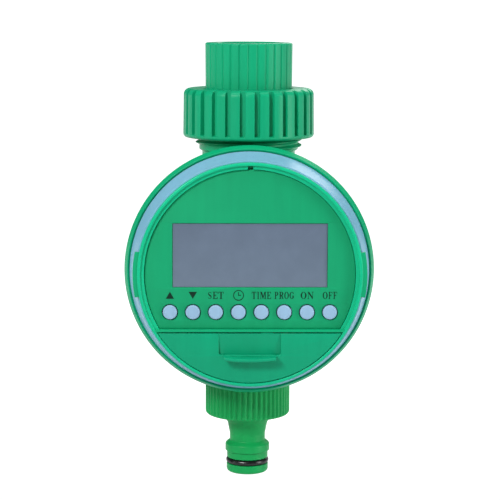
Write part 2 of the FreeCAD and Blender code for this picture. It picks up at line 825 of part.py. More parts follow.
def make_gearbox():
    motor_x, motor_y = motor_centre()
    idler_x, idler_y = idler_centre()
    floor = size("web_front")
    front = size("gearbox_front")
    screw = size("small_screw_radius")
    plate = padded("gearbox_plate", GEARBOX_CORNERS, floor, floor + 1.2)
    inner = [(x * 0.93 + 0.6, y * 0.93 + 0.3) for x, y in GEARBOX_CORNERS]
    lid = padded("gearbox_lid", GEARBOX_CORNERS, floor + 1.2, front)
    hollow = padded("gearbox_hollow", inner, floor + 1.0, front - 1.2)
    ears = [cylinder(f"gearbox_post_{k}", size("small_boss_radius"), floor + 1.2, front, x, y)
            for k, (x, y) in enumerate(GEARBOX_SCREWS)]
    plate_holes = [
        cylinder("gland_opening", 5.0, floor - 1, floor + 3),
        cylinder("shaft_opening", size("shaft_radius") + 0.2, floor - 1, floor + 3, motor_x, motor_y),
        cylinder("axle_seat", size("axle_radius"), floor - 1, floor + 3, idler_x, idler_y),
    ]
    lid_holes = [cylinder("axle_cap", size("axle_radius"), 24, 25.2, idler_x, idler_y)]
    screws = []
    for k, (x, y) in enumerate(GEARBOX_SCREWS):
        plate_holes.append(cylinder(f"plate_screw_hole_{k}", screw, floor - 1, floor + 3, x, y))
        lid_holes.append(cylinder(f"lid_screw_hole_{k}", screw, floor, front + 1.2, x, y))
        screws.append(cylinder(f"gearbox_shank_{k}", screw, 10.4, front, x, y))
        screws.append(cylinder(f"gearbox_head_{k}", size("small_head_radius"), front, front + 1.2, x, y))
    keep("gearbox_base", cut("gearbox_base", plate, plate_holes), DIAL)
    shell = cut("gearbox_shell", lid, [hollow])
    keep("gearbox_cover", cut("gearbox_cover", fused("gearbox_walls", [shell] + ears), lid_holes), DIAL)
    keep("gearbox_screws", fused("gearbox_screws", screws), DIAL)
    axle = cylinder("idler_axle", size("axle_radius"), floor, 25.2, idler_x, idler_y)
    keep("idler_axle", axle, DIAL)
    across = SIZES["motor_half_width"]
    along = SIZES["motor_half_height"]
    body = box("motor_can", (motor_x - across, motor_x + across), (motor_y - along, motor_y + along),
               (size("motor_back"), size("web_front")))
    clearance = cylinder("motor_bearing", size("shaft_radius") + 0.1, 10, 14, motor_x, motor_y)
    keep("gear_motor", cut("gear_motor", body, [clearance]), DIAL)


PIN_X = -27.75
PIN_ROWS = [-6.3 + 2.4 * k for k in range(5)]


def lead_path(height):
    """From the motor's back, round behind the pipe and forward to the connector board."""
    motor_x = motor_centre()[0]
    bend = 4.0
    back = -15.4
    left = -28.0
    v = FreeCAD.Vector
    diagonal = bend * (1 - math.sqrt(0.5))
    corners = [
        Part.LineSegment(v(motor_x, height, SIZES["motor_back"]), v(motor_x, height, back + bend)),
        Part.Arc(v(motor_x, height, back + bend), v(motor_x - diagonal, height, back + diagonal),
                 v(motor_x - bend, height, back)),
        Part.LineSegment(v(motor_x - bend, height, back), v(left + bend, height, back)),
        Part.Arc(v(left + bend, height, back), v(left + diagonal, height, back + diagonal),
                 v(left, height, back + bend)),
        Part.LineSegment(v(left, height, back + bend), v(left, height, 22.0)),
    ]
    return Part.Wire([piece.toShape() for piece in corners])


def make_wiring():
    """The motor's two leads, the connector board on the housing and its pins."""
    motor_y = motor_centre()[1]
    leads = []
    for offset in (-2.5, 2.5):
        path = lead_path(motor_y + offset)
        start = path.Vertexes[0].Point
        section = Part.Wire(Part.makeCircle(SIZES["lead_radius"], start, FreeCAD.Vector(0, 0, -1)))
        leads.append(path.makePipeShell([section], True, False))
    keep("motor_leads", shaped("motor_leads", Part.makeCompound(leads)), DIAL)
    board = box("connector_board", (-33.5, -21.5), (-9, 5.4), (22.0, 23.6))
    keep("connector_board", board, DIAL)
    base = box("header_base", (-29, -26.5), (-7.4, 3.8), (23.6, 26.0))
    pins = [box(f"header_pin_{k}", (PIN_X - 0.3, PIN_X + 0.3), (y - 0.3, y + 0.3), (26.0, 30.6))
            for k, y in enumerate(PIN_ROWS)]
    keep("pin_header", fused("pin_header", [base] + pins), DIAL)


# ---- control module --------------------------------------------------------------------------------

CASE_BOSS_ANGLES = (62, 118, -10, 190)


def case_bosses():
    for angle in CASE_BOSS_ANGLES:
        turn = math.radians(angle)
        yield SIZES["case_boss_circle"] * math.cos(turn), SIZES["case_boss_circle"] * math.sin(turn)


def make_control_case():
    ring = size("ring_radius")
    lip = size("ring_inner_radius")
    front = size("ring_front")
    back = size("case_back")
    plate_back = size("plate_front") - size("plate_thickness")
    plate_room_radius = size("plate_radius") + size("plate_gap")
    shelf_front = size("shelf_front")
    rim = turned("case_ring", [
        (40.2, back),
        (ring, back),
        (ring, front, 0.5),
        (lip, front, 0.3),
        (lip, size("band_front")),
        (plate_room_radius, size("band_front"), 0.2),
        (plate_room_radius, plate_back),
        (plate_room_radius - 1.12, plate_back),
        (plate_room_radius - 1.12, 36.2),
        (40.2, 35.0),
    ])
    top = -size("partition_top")
    half = size("box_half_width")
    round_radius = 41.0
    shelf = common("case_shelf", [
        cylinder("shelf_disc", round_radius, size("shelf_back"), shelf_front),
        box("shelf_part", (-BEYOND, BEYOND), (-BEYOND, top), (37, 39)),
    ])
    battery_box = common("battery_box", [
        box("battery_box_block", (-half, half), (-size("box_bottom"), top), (size("box_back"), shelf_front)),
        cylinder("battery_box_round", round_radius + 0.4, 15, 39),
    ])
    bar = common("case_bar", [
        box("bar_block", (-BEYOND, BEYOND), (-size("bar_bottom"), -size("bar_top")),
            (size("seat_back"), front)),
        cylinder("bar_round", lip + 0.4, 35, BEYOND),
    ])
    seat = common("plate_seat", [
        box("seat_block", (-BEYOND, BEYOND), (-size("bar_bottom"), top), (size("seat_back"), plate_back)),
        cylinder("seat_round", round_radius, 35, 38),
    ])
    divider = common("case_divider", [
        box("divider_block", (-BEYOND, BEYOND), (-size("partition_bottom"), top), (back, plate_back)),
        cylinder("divider_round", round_radius, 20, 38),
    ])
    lug_ring = tube("lug_ring", ring + 1.6, ring - 0.9, 39.1, 40.7)
    lugs = common("case_lugs", [
        lug_ring,
        fused("lug_blocks", [
            box("right_lug_block", (38, 46), (-8.3, 8.8), (39, 41)),
            box("left_lug_block", (-46, -38), (-8.3, 8.8), (39, 41)),
        ]),
    ])
    bosses = [cylinder(f"case_boss_{k}", size("small_boss_radius"), size("back_front"), plate_back, x, y)
              for k, (x, y) in enumerate(case_bosses())]
    walls = fused("case_walls", [rim, shelf, battery_box, bar, seat, divider, lugs] + bosses)
    inner = half - size("box_wall")
    low = -size("box_bottom") + size("box_wall")
    floor = size("box_back") + size("box_wall")
    cell_room = common("cell_room", [
        fused("cell_room_blocks", [
            box("cell_room_front", (-inner, inner), (low, -size("bar_bottom")), (floor, 40)),
            box("cell_room_top", (-inner, inner), (low, -size("partition_bottom")),
                (floor, size("seat_back"))),
        ]),
        cylinder("cell_room_round", 40.1, 15, 41),
    ])
    door_room = common("door_room", [
        cylinder("door_room_disc", lip, shelf_front, BEYOND),
        box("door_room_block", (-BEYOND, BEYOND), (-BEYOND, -size("bar_bottom")), (38, BEYOND)),
    ])
    hooks = []
    for k, x in enumerate(HOOK_PLACES):
        across = (x - 1.7, x + 1.7)
        hooks.append(box(f"hook_slot_{k}", across, (-42.25, -41.0), (38.3, 40.1)))
        hooks.append(box(f"hook_sweep_{k}", across, (-41.6, -38.6), (38.2, 39.5)))
    # a release slot beside the plate's top edge
    notch = box("top_notch", (-1.0, 1.0), (39.0, 41.4), (37.3, BEYOND))
    pilots = [cylinder(f"case_pilot_{k}", size("small_screw_radius"), 29, 36.2, x, y)
              for k, (x, y) in enumerate(case_bosses())]
    plate_room = common("plate_room", [
        cylinder("plate_room_disc", plate_room_radius, plate_back, BEYOND),
        box("plate_room_block", (-BEYOND, BEYOND), (-size("bar_top"), BEYOND), (37, BEYOND)),
    ])
    case = cut("control_case", walls, [cell_room, door_room, plate_room, notch] + hooks + pilots)
    keep("control_case", case, DIAL)
    seal = turned("seal_ring", [
        (ring, size("seal_back")),
        (size("seal_foot_radius"), size("seal_back")),
        (size("seal_foot_radius"), size("seal_back") + 0.6, 0.4),
        (ring + 0.2, size("seal_front")),
        (ring, size("seal_front")),
    ])
    keep("seal_ring", seal, DIAL)


def button_places():
    for k in range(len(BUTTON_NAMES)):
        yield (k - 3.5) * SIZES["button_pitch"], -SIZES["button_drop"]


def make_face():
    """The recessed face plate with its display window and the holes for the buttons."""
    front = size("plate_front")
    back = front - size("plate_thickness")
    plate = common("face_plate_blank", [
        cylinder("face_disc", size("plate_radius"), back, front),
        box("face_part", (-BEYOND, BEYOND), (-size("plate_bottom"), BEYOND), (back, front)),
    ])
    half_width = size("window_width") * 0.5
    low = size("window_rise") - size("window_height") * 0.5
    high = size("window_rise") + size("window_height") * 0.5
    openings = [box("window", (-half_width, half_width), (low, high), (36, 40))]
    for k, (x, y) in enumerate(button_places()):
        openings.append(cylinder(f"button_hole_{k}", size("button_hole_radius"), 36, 40, x, y))
    keep("face_plate", cut("face_plate", plate, openings), DIAL)
    gap = 0.08
    across = (-half_width + gap, half_width - gap)
    lens = box("lcd_lens", across, (low + gap, high - gap), (back, front - 0.35))
    keep("lcd_lens", lens, DIAL)
    glass_back = size("glass_back")
    board_front = size("board_front")
    glass = box("lcd_glass", (-30.5, 30.5), (low - 1.4, high + 1.4), (glass_back, back - 0.05))
    keep("lcd_glass", glass, DIAL)
    strips = fused("zebra_strips", [
        box("zebra_upper", (-28, 28), (high - 1.2, high + 1.0), (board_front, glass_back)),
        box("zebra_lower", (-28, 28), (low - 1.0, low + 1.2), (board_front, glass_back)),
    ])
    keep("zebra_strips", strips, DIAL)
    for name, (x, y) in zip(BUTTON_NAMES, button_places()):
        # a cap with a flange that the plate keeps in, its face slightly domed by a rounded edge
        cap = turned(f"button_{name}", [
            (0, size("button_flange_back")),
            (size("button_flange_radius"), size("button_flange_back")),
            (size("button_flange_radius"), size("button_flange_front")),
            (size("button_radius"), size("button_flange_front")),
            (size("button_radius"), size("button_top"), 0.45),
            (0, size("button_top")),
        ])
        place = FreeCAD.Placement(FreeCAD.Vector(x, y, 0), FreeCAD.Rotation())
        keep(f"button_{name}", cap, DIAL.multiply(place))


def make_electronics():
    top = -19.2
    front = size("board_front")
    back = size("board_back")
    disc = common("board_blank", [
        cylinder("board_disc", 39.6, back, front),
        box("board_part", (-BEYOND, BEYOND), (top, BEYOND), (32, 35)),
    ])
    notch = size("small_boss_radius") + 0.4
    holes = [cylinder(f"board_notch_{k}", notch, 32, 35, x, y) for k, (x, y) in enumerate(case_bosses())]
    keep("circuit_board", cut("circuit_board", disc, holes), DIAL)
    pads = [cylinder(f"mat_dome_{k}", 2.2, front + 0.8, front + 1.2, x, y)
            for k, (x, y) in enumerate(button_places())]
    mat = box("mat_sheet", (-33.8, 33.8), (-18.8, -10.9), (front, front + 0.8))
    keep("keypad_mat", fused("keypad_mat", [mat] + pads), DIAL)
    keep("controller_chip", box("controller_chip", (-5, 9), (3, 17), (back - 1.6, back)), DIAL)
    parts = [
        box("crystal", (13, 21), (6, 9.4), (back - 2.0, back)),
        box("driver_chip", (-19, -13), (6, 10), (back - 1.5, back)),
        cylinder("capacitor", 2.4, back - 2.1, back, -20, 20),
        cylinder("buzzer", 5.0, back - 2.1, back, 22, -8),
    ]
    keep("board_components", fused("board_components", parts), DIAL)
    socket = box("socket_block", (-29.6, -25.9), (-8.2, 4.6), (27.0, back))
    slots = [box(f"socket_slot_{k}", (PIN_X - 0.4, PIN_X + 0.4), (y - 0.4, y + 0.4), (26, 31.2))
             for k, y in enumerate(PIN_ROWS)]
    keep("board_socket", cut("board_socket", socket, slots), DIAL)
    make_control_back(top - 0.2)


def make_control_back(bottom):
    """The plate that closes the module from behind, cut off straight below, and its four screws."""
    back = size("case_back")
    plate = common("control_back_blank", [
        cylinder("back_disc", 40.1, back, size("back_front")),
        box("back_part", (-BEYOND, BEYOND), (bottom, BEYOND), (28, 31)),
    ])
    screw = size("small_screw_radius")
    openings = [box("socket_opening", (-29.7, -25.8), (-8.3, 4.7), (28, 31))]
    screws = []
    for k, (x, y) in enumerate(case_bosses()):
        openings.append(cylinder(f"back_hole_{k}", screw, 28, 31, x, y))
        screws.append(cylinder(f"back_shank_{k}", screw, back, 36.2, x, y))
        screws.append(cylinder(f"back_head_{k}", size("small_head_radius"), back - 1.2, back, x, y))
    keep("control_back", cut("control_back", plate, openings), DIAL)
    keep("control_screws", fused("control_screws", screws), DIAL)


def make_cell(name, height, direction):
    """A cell lying along x, its positive end to the right or to the left."""
    length = size("cell_length")
    shoulder = length - 0.9
    nub = size("cell_nub_radius")
    cell = turned(name, [
        (0, 0),
        (size("cell_radius"), 0, 0.5),
        (size("cell_radius"), shoulder, 0.6),
        (nub, shoulder),
        (nub, length, 0.3),
        (0, length),
    ])
    start = -20.3 * direction
    turn = FreeCAD.Rotation(FreeCAD.Vector(0, 1, 0), 90 * direction)
    place = FreeCAD.Placement(FreeCAD.Vector(start, -SIZES["cell_drop"], height), turn)
    keep(name, cell, DIAL.multiply(place))


def contact_spring(x, height, direction):
    """A coil that presses a cell's flat end, drawn along x."""
    helix = Part.makeHelix(1.5, 4.2, 3.0)
    start = helix.Vertexes[0].Point
    section = Part.Wire(Part.makeCircle(0.3, start, FreeCAD.Vector(0, 1, 0)))
    coil = Part.Wire(helix.Edges).makePipeShell([section], True, True)
    coil.rotate(FreeCAD.Vector(), FreeCAD.Vector(0, 1, 0), 90 * direction)
    coil.translate(FreeCAD.Vector(x, -SIZES["cell_drop"], height))
    return coil


def make_contacts():
    inner = SIZES["box_half_width"] - SIZES["box_wall"]
    drop = SIZES["cell_drop"]
    pieces = []
    for height, direction in ((SIZES["front_cell"], 1), (SIZES["rear_cell"], -1)):
        for side in (1, -1):
            low, high = (inner - 0.45, inner) if side > 0 else (-inner, -inner + 0.45)
            plate = Part.makeBox(high - low, 7.6, 8.0, FreeCAD.Vector(low, -drop - 3.8, height - 4.0))
            pieces.append(plate)
        bump = Part.makeCylinder(1.6, 0.95, FreeCAD.Vector(24.2 * direction, -drop, height),
                                 FreeCAD.Vector(direction, 0, 0))
        pieces.append(bump)
        pieces.append(contact_spring(-(inner - 0.75) * direction, height, direction))
    keep("battery_contacts", shaped("battery_contacts", Part.makeCompound(pieces)), DIAL)


def make_battery_door():
    """The door fills the dial's lower segment; a scoop deepens toward the pull tab."""
    front = size("ring_front")
    back = front - size("door_thickness")
    skin = common("door_skin", [
        cylinder("door_disc", size("door_radius"), back, front),
        box("door_part", (-BEYOND, BEYOND), (-BEYOND, -size("door_top")), (39, BEYOND)),
    ])
    half = size("scoop_width") * 0.5
    tab_top = -size("tab_top")
    door_top = -size("door_top")
    # the scoop's section, drawn in (height, depth) and padded across the door
    hollow = padded("scoop_hollow", [
        (door_top + 1, front - 0.15),
        (door_top + 1, front + 2),
        (tab_top, front + 2),
        (tab_top, front - 1.1),
    ], -half, half, "YZ_Plane")
    tab = make_tab()
    nib = box("latch_nib", (4.35, 8.85), (door_top - 0.3, door_top + 0.2), (39.6, 40.6))
    hooks = [
        box(f"door_hook_{k}", (x - 1.4, x + 1.4), (-41.95, -39.6), (39.2, 39.9))
        for k, x in enumerate(HOOK_PLACES)
    ]
    blank = cut("door_blank", skin, [hollow])
    keep("battery_door", fused("battery_door", [blank, tab, nib] + hooks), DIAL)


def make_tab():
    """The pull tab: a bowed strip, thicker where it meets the door."""
    half = SIZES["tab_width"] / 2
    top = -SIZES["tab_top"]
    bottom = -SIZES["tab_bottom"]
    bow = 0.7
    v = FreeCAD.Vector
    start = 39.3
    length = SIZES["tab_reach"] - start
    end_height = 1.2
    inset = 0.2
    upper = Part.Arc(v(-half, top, start), v(0, top - bow, start), v(half, top, start))
    right = Part.LineSegment(v(half, top, start), v(half - inset, top - end_height, start))
    lower = Part.Arc(v(half - inset, top - end_height, start), v(0, bottom, start),
                     v(inset - half, top - end_height, start))
    left = Part.LineSegment(v(inset - half, top - end_height, start), v(-half, top, start))
    wire = Part.Wire([piece.toShape() for piece in (upper, right, lower, left)])
    solid = Part.Face(wire).extrude(v(0, 0, length))
    along = [edge for edge in solid.Edges if abs(edge.BoundBox.ZLength - length) < 0.01]
    solid = solid.makeFillet(0.35, along)
    tip = [edge for edge in solid.Edges if edge.BoundBox.ZMin > SIZES["tab_reach"] - 0.01]
    return shaped("tab_strip", solid.makeFillet(0.4, tip))


# ---- outlet ----------------------------------------------------------------------------------------


def make_outlet():
    top = -size("skirt_top")
    skirt_end = -size("skirt_bottom")
    end = -size("outlet_end")
    seat = -size("spigot_bottom") - 2.2
    neck = size("nipple_neck_radius")
    groove_top = end + size("groove_top")
    groove_bottom = end + size("groove_bottom")
    body = turned("outlet_fitting", [
        (size("tap_major_radius") + 0.25, top),
        (size("skirt_radius"), top, 0.5),
        (size("skirt_radius"), skirt_end, 1.3),
        (9.8, skirt_end, 0.6),
        (9.6, skirt_end - 1.0),
        (8.0, end + 20.2),
        (neck, end + 15.7),
        (neck, end + 13.0),
        (size("collar_radius"), end + size("collar_top"), 0.9),
        (size("collar_radius"), end + size("collar_bottom"), 0.3),
        (size("body_radius"), end + size("collar_bottom")),
        (size("body_radius"), groove_top, 0.3),
        (size("groove_radius"), groove_top),
        (size("groove_radius"), groove_bottom),
        (size("tip_radius"), groove_bottom, 0.3),
        (size("tip_radius"), end, 1.3),
        (size("outlet_bore"), end, 0.4),
        (size("outlet_bore"), seat),
        (size("tap_major_radius") + 0.25, seat),
    ])
    rib = round_groove(0.6, size("skirt_radius") + 0.2, turn=-90.9)
    groove_round(body, "skirt_grooves", rib, skirt_end - 1, 17, SKIRT_RIBS)
    middle = -size("spigot_bottom") + 1.3 + size("tap_pitch") * 1.5
    root = size("tap_major_radius") + 0.4
    crest = size("tap_minor_radius") + 0.3
    add_thread(body, "skirt_thread", [
        (root, middle - 0.66),
        (root, middle + 0.66),
        (crest, middle + 0.12),
        (crest, middle - 0.12),
    ], size("tap_pitch"), 3)
    keep("outlet_fitting", body)
    washer_top = -size("spigot_bottom") - 0.1
    washer = tube("outlet_washer", size("outlet_washer_radius"), size("outlet_washer_bore"),
                  washer_top - 2.0, washer_top)
    keep("outlet_washer", washer)
    ring = doc.addObject("Part::Torus", "nipple_o_ring")
    bind(ring, "Radius1", size("nipple_ring_radius"))
    bind(ring, "Radius2", size("nipple_ring_section"))
    bind(ring, "Placement.Base.z", (groove_top + groove_bottom) * 0.5)
    groove = tube("o_ring_groove", size("groove_radius"), 5.0, end + 3, end + 6)
    keep("nipple_o_ring", cut("nipple_o_ring", ring, [groove]))


# ---- build, check and write ------------------------------------------------------------------------


def check_document():
    """Stops at any object that failed and at any sub-part without a sound shape."""
    for thing in doc.Objects:
        bad = [state for state in thing.State if state in ("Invalid", "Error")]
        assert not bad, f"{thing.Name} is {thing.State}"
    for node, thing in nodes.items():
        assert not thing.Shape.isNull() and thing.Shape.isValid(), f"{node} has no valid shape"


def write_parts():
    for node, thing in nodes.items():
        thing.Shape.exportStep(f"parts/{node}.step")
        extent = thing.Shape.BoundBox
        print(f"{node:20s} solids {len(thing.Shape.Solids)}  volume {thing.Shape.Volume:10.1f}  "
              f"z {extent.ZMin:8.2f} to {extent.ZMax:8.2f}")


make_inlet_adaptor()
make_coupling_nut()
make_valve_housing()
make_rear_cover()
make_neck_fittings()
make_ball_valve()
make_gears()
make_gearbox()
make_wiring()
make_control_case()
make_face()
make_electronics()
make_cell("front_cell", SIZES["front_cell"], 1)
make_cell("rear_cell", SIZES["rear_cell"], -1)
make_contacts()
make_battery_door()
make_outlet()
doc.recompute()
check_document()
write_parts()
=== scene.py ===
import json
import math

import bmesh
import bpy
import numpy as np
from mathutils import Matrix, Vector


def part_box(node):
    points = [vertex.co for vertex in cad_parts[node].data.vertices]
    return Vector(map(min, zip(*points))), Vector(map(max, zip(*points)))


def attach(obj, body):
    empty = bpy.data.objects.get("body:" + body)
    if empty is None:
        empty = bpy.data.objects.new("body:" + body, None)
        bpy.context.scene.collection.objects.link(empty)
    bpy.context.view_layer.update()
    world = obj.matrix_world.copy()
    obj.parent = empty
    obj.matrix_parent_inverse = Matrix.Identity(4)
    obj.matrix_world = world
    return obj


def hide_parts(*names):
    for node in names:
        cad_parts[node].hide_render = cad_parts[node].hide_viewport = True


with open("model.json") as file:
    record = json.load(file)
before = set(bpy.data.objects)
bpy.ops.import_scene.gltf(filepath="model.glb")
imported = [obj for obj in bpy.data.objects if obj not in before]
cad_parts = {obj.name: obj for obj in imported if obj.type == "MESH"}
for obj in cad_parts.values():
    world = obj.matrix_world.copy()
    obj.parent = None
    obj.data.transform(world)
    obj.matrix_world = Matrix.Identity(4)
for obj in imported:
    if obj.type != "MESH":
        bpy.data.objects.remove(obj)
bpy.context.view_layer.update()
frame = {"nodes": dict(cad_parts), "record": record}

# A round tap timer.  Shapes are drawn in millimetres and become metres in make_piece().
# A dial drawing has x to the right, y up from the dial's centre and w out of its face.

MM = 0.001


def box_mm(node):
    """The CAD node's lowest and highest corners, in millimetres."""
    low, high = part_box(node)
    return np.array(low) / MM, np.array(high) / MM


FACE_LOW, FACE_HIGH = box_mm("face_plate")
BUTTON_LOW, BUTTON_HIGH = box_mm("button_up")
LENS_LOW, LENS_HIGH = box_mm("lcd_lens")
NUT_LOW, NUT_HIGH = box_mm("coupling_nut")
OUTLET_LOW, OUTLET_HIGH = box_mm("outlet_fitting")
DOOR_LOW, DOOR_HIGH = box_mm("battery_door")

FACE_RADIUS = (FACE_HIGH[0] - FACE_LOW[0]) / 2
DIAL_Z = FACE_HIGH[2] - FACE_RADIUS
PLATE_FRONT = -FACE_LOW[1]
PLATE_BACK = -FACE_HIGH[1]
PLATE_BOTTOM = FACE_LOW[2] - DIAL_Z
BUTTON_FRONT = -BUTTON_LOW[1]
BUTTON_ROW = (BUTTON_LOW[2] + BUTTON_HIGH[2]) / 2 - DIAL_Z
DOOR_TOP = -22.1
BAR_TOP, BAR_BOTTOM = -20.7, -21.65
RING_FRONT = 41.0
RING_RADIUS = 42.7
LEGEND_ROW = -7.8
BUTTONS = ("up", "down", "set", "clock", "time", "program", "on", "off")

# the drum's screw posts stand on its diagonals
POSTS = [(s * 33.5 * math.sqrt(0.5), t * 33.5 * math.sqrt(0.5)) for s in (1, -1) for t in (1, -1)]

# the room for the cells, behind the door
TRAY_BACK = 15.7
TRAY_FRONT = 38.8
TRAY_HALF = 26.8
TRAY_ROOM_HALF = 25.6
TRAY_TOP = -19.6


# ---- meshes ----------------------------------------------------------------------------------------


def rounded(corners, closed=True, steps=6, shoulder=0.1):
    """A profile through (a, b) corners, where (a, b, r) is rounded.

    The arc of a corner is tangent to both runs: its ends lie r / tan(half the inner angle) along them,
    and points a little beyond both ends keep the flats beside it flat in the shading.
    """
    corners = [tuple(corner) for corner in corners]
    path = []
    count = len(corners)
    for k, (a, b, *radius) in enumerate(corners):
        here = np.array((a, b), float)
        if not radius or (not closed and k in (0, count - 1)):
            path.append(here)
            continue
        before = np.array(corners[k - 1][:2], float) - here
        after = np.array(corners[(k + 1) % count][:2], float) - here
        before_length, after_length = np.linalg.norm(before), np.linalg.norm(after)
        before, after = before / before_length, after / after_length
        half = math.acos(np.clip(before @ after, -1, 1)) / 2
        reach = radius[0] / math.tan(half)
        middle = (before + after) / np.linalg.norm(before + after)
        centre = here + middle * radius[0] / math.sin(half)
        start, end = here + before * reach - centre, here + after * reach - centre
        sweep = math.pi - 2 * half
        share = np.linspace(0, 1, steps + 1)[:, None]
        arc = (np.sin((1 - share) * sweep) * start + np.sin(share * sweep) * end) / math.sin(sweep)
        if reach + shoulder < before_length * 0.49:
            path.append(here + before * (reach + shoulder))
        path.extend(centre + arc)
        if reach + shoulder < after_length * 0.49:
            path.append(here + after * (reach + shoulder))
    return np.array(path)


def finer(path, step, where=None, closed=True):
    """The path with its runs divided to a step, only where where(middle of run) is true."""
    following = np.roll(path, -1, axis=0)
    pieces = []
    for start, end in zip(path, following if closed else following[:-1]):
        parts = 1
        if where is None or where(*(start + end) / 2):
            parts = max(1, math.ceil(np.linalg.norm(end - start) / step))
        share = np.arange(parts)[:, None] / parts
        pieces.append(start + (end - start) * share)
    if not closed:
        pieces.append(path[-1:])
    return np.concatenate(pieces)


def make_piece(name, points, faces, sharp=32.0):
    """A mesh object from points in millimetres and faces, outward, smooth but for sharp edges."""
    mesh = bpy.data.meshes.new(name)
    mesh.from_pydata((np.asarray(points, float) * MM).tolist(), [], [list(face) for face in faces])
    return finish_mesh(name, mesh, sharp)


def finish_mesh(name, mesh, sharp=32.0):
    """Welds a mesh, points its faces outward and shades it smooth up to an angle in degrees."""
    work = bmesh.new()
    work.from_mesh(mesh)
    bmesh.ops.remove_doubles(work, verts=work.verts, dist=1e-6)
    bmesh.ops.dissolve_degenerate(work, edges=work.edges, dist=1e-7)
    bmesh.ops.recalc_face_normals(work, faces=work.faces)
    work.to_mesh(mesh)
    work.free()
    mesh.polygons.foreach_set("use_smooth", np.ones(len(mesh.polygons), bool))
    mesh.set_sharp_from_angle(angle=math.radians(sharp))
    piece = bpy.data.objects.new(name, mesh)
    bpy.context.scene.collection.objects.link(piece)
    return piece


def grid_faces(rows, columns, close_rows, close_columns):
    """The quads between neighbouring points of a grid whose point (i, j) is number i * columns + j."""
    i = np.arange(rows if close_rows else rows - 1)[:, None]
    j = np.arange(columns if close_columns else columns - 1)[None, :]
    next_i, next_j = (i + 1) % rows, (j + 1) % columns
    corners = (i * columns + j, i * columns + next_j, next_i * columns + next_j, next_i * columns + j)
    quads = np.stack([np.broadcast_to(c, (len(i), j.shape[1])) for c in corners], -1)
    return quads.reshape(-1, 4).tolist()


def about_pipe(r, h, angle):
    """Radius, height and angle about the pipe, as x, y, z."""
    return np.stack([r * np.cos(angle), r * np.sin(angle), h + 0 * angle], -1)


def about_dial(r, w, angle, x=0.0, y=0.0):
    """Radius, depth and angle about an axis out of the dial's face, as x, y, z."""
    return np.stack([x + r * np.cos(angle), -w + 0 * angle, DIAL_Z + y + r * np.sin(angle)], -1)


def turned(name, path, angles, place=about_pipe, shape=None, closed=True, sharp=32.0):
    """A profile of (radius, height) carried round an axis.

    shape(r, h, angle) gives each point's new radius.  An open profile starts and ends on the axis.
    """
    r = np.broadcast_to(path[:, :1], (len(path), len(angles))).copy()
    h = np.broadcast_to(path[:, 1:], r.shape).copy()
    angle = np.broadcast_to(angles[None, :], r.shape)
    if shape is not None:
        r = shape(r, h, angle)
    points = place(r, h, angle).reshape(-1, 3)
    return make_piece(name, points, grid_faces(len(path), len(angles), closed, True), sharp)


def even(count, first=0.0):
    """Angles evenly spaced round a circle."""
    return first + np.arange(count) * 2 * math.pi / count


def on_dial(u, v, n):
    """A flat drawing on the dial: right, up and out of the face."""
    return np.stack([u, -n, DIAL_Z + v], -1)


def across_dial(u, v, n):
    """A section of the dial: up and out of the face, with n to the right."""
    return np.stack([n, -v, DIAL_Z + u], -1)


def plate_mesh(outlines, low, high, bevel, place=on_dial):
    """A flat sheet with the given outlines, the first around and the others holes, its edges rounded.

    The outlines are filled, given their thickness from low to high and set in by the bevel, so that the
    rounded edge ends on the outline itself.
    """
    curve = bpy.data.curves.new("outline", "CURVE")
    curve.dimensions = "2D"
    curve.fill_mode = "BOTH"
    curve.extrude = (high - low) / 2 - bevel
    curve.bevel_depth = bevel
    curve.bevel_resolution = 2
    curve.offset = -bevel
    for outline in outlines:
        spline = curve.splines.new("POLY")
        spline.points.add(len(outline) - 1)
        flat = np.concatenate([outline, np.zeros((len(outline), 1)), np.ones((len(outline), 1))], 1)
        spline.points.foreach_set("co", flat.astype(np.float32).ravel())
        spline.use_cyclic_u = True
    holder = bpy.data.objects.new("outline", curve)
    mesh = bpy.data.meshes.new_from_object(holder)
    bpy.data.objects.remove(holder)
    bpy.data.curves.remove(curve)
    flat = np.zeros(len(mesh.vertices) * 3, np.float32)
    mesh.vertices.foreach_get("co", flat)
    u, v, n = flat.reshape(-1, 3).T.astype(float)
    points = place(u, v, n + (low + high) / 2) * MM
    mesh.vertices.foreach_set("co", points.astype(np.float32).ravel())
    return mesh


def plate(name, outlines, low, high, bevel, place=on_dial, sharp=32.0):
    """A flat sheet as a piece of its own."""
    return finish_mesh(name, plate_mesh(outlines, low, high, bevel, place), sharp)


def joined(name, meshes, sharp=32.0):
    """Several meshes as one piece."""
    whole = bmesh.new()
    for mesh in meshes:
        whole.from_mesh(mesh)
    mesh = bpy.data.meshes.new(name)
    whole.to_mesh(mesh)
    whole.free()
    return finish_mesh(name, mesh, sharp)


def arc(radius, first, last, count=90, x=0.0, y=0.0):
    """Points on a circle between two angles in degrees."""
    angle = np.radians(np.linspace(first, last, count))
    return np.stack([x + radius * np.cos(angle), y + radius * np.sin(angle)], -1)


def circle(radius, x=0.0, y=0.0, count=48):
    """Points all round a circle."""
    return arc(radius, 0, 360 * (1 - 1 / count), count, x, y)


def rectangle(x0, x1, y0, y1, corner=0.0):
    """A rectangle, its corners rounded to a radius."""
    corners = [(x0, y0), (x1, y0), (x1, y1), (x0, y1)]
    if not corner:
        return np.array(corners, float)
    return rounded([(a, b, corner) for a, b in corners], steps=4, shoulder=9)


def ramp(value, low, high):
    """0 below low, 1 above high, and smooth between."""
    share = np.clip((value - low) / (high - low), 0, 1)
    return share * share * (3 - 2 * share)


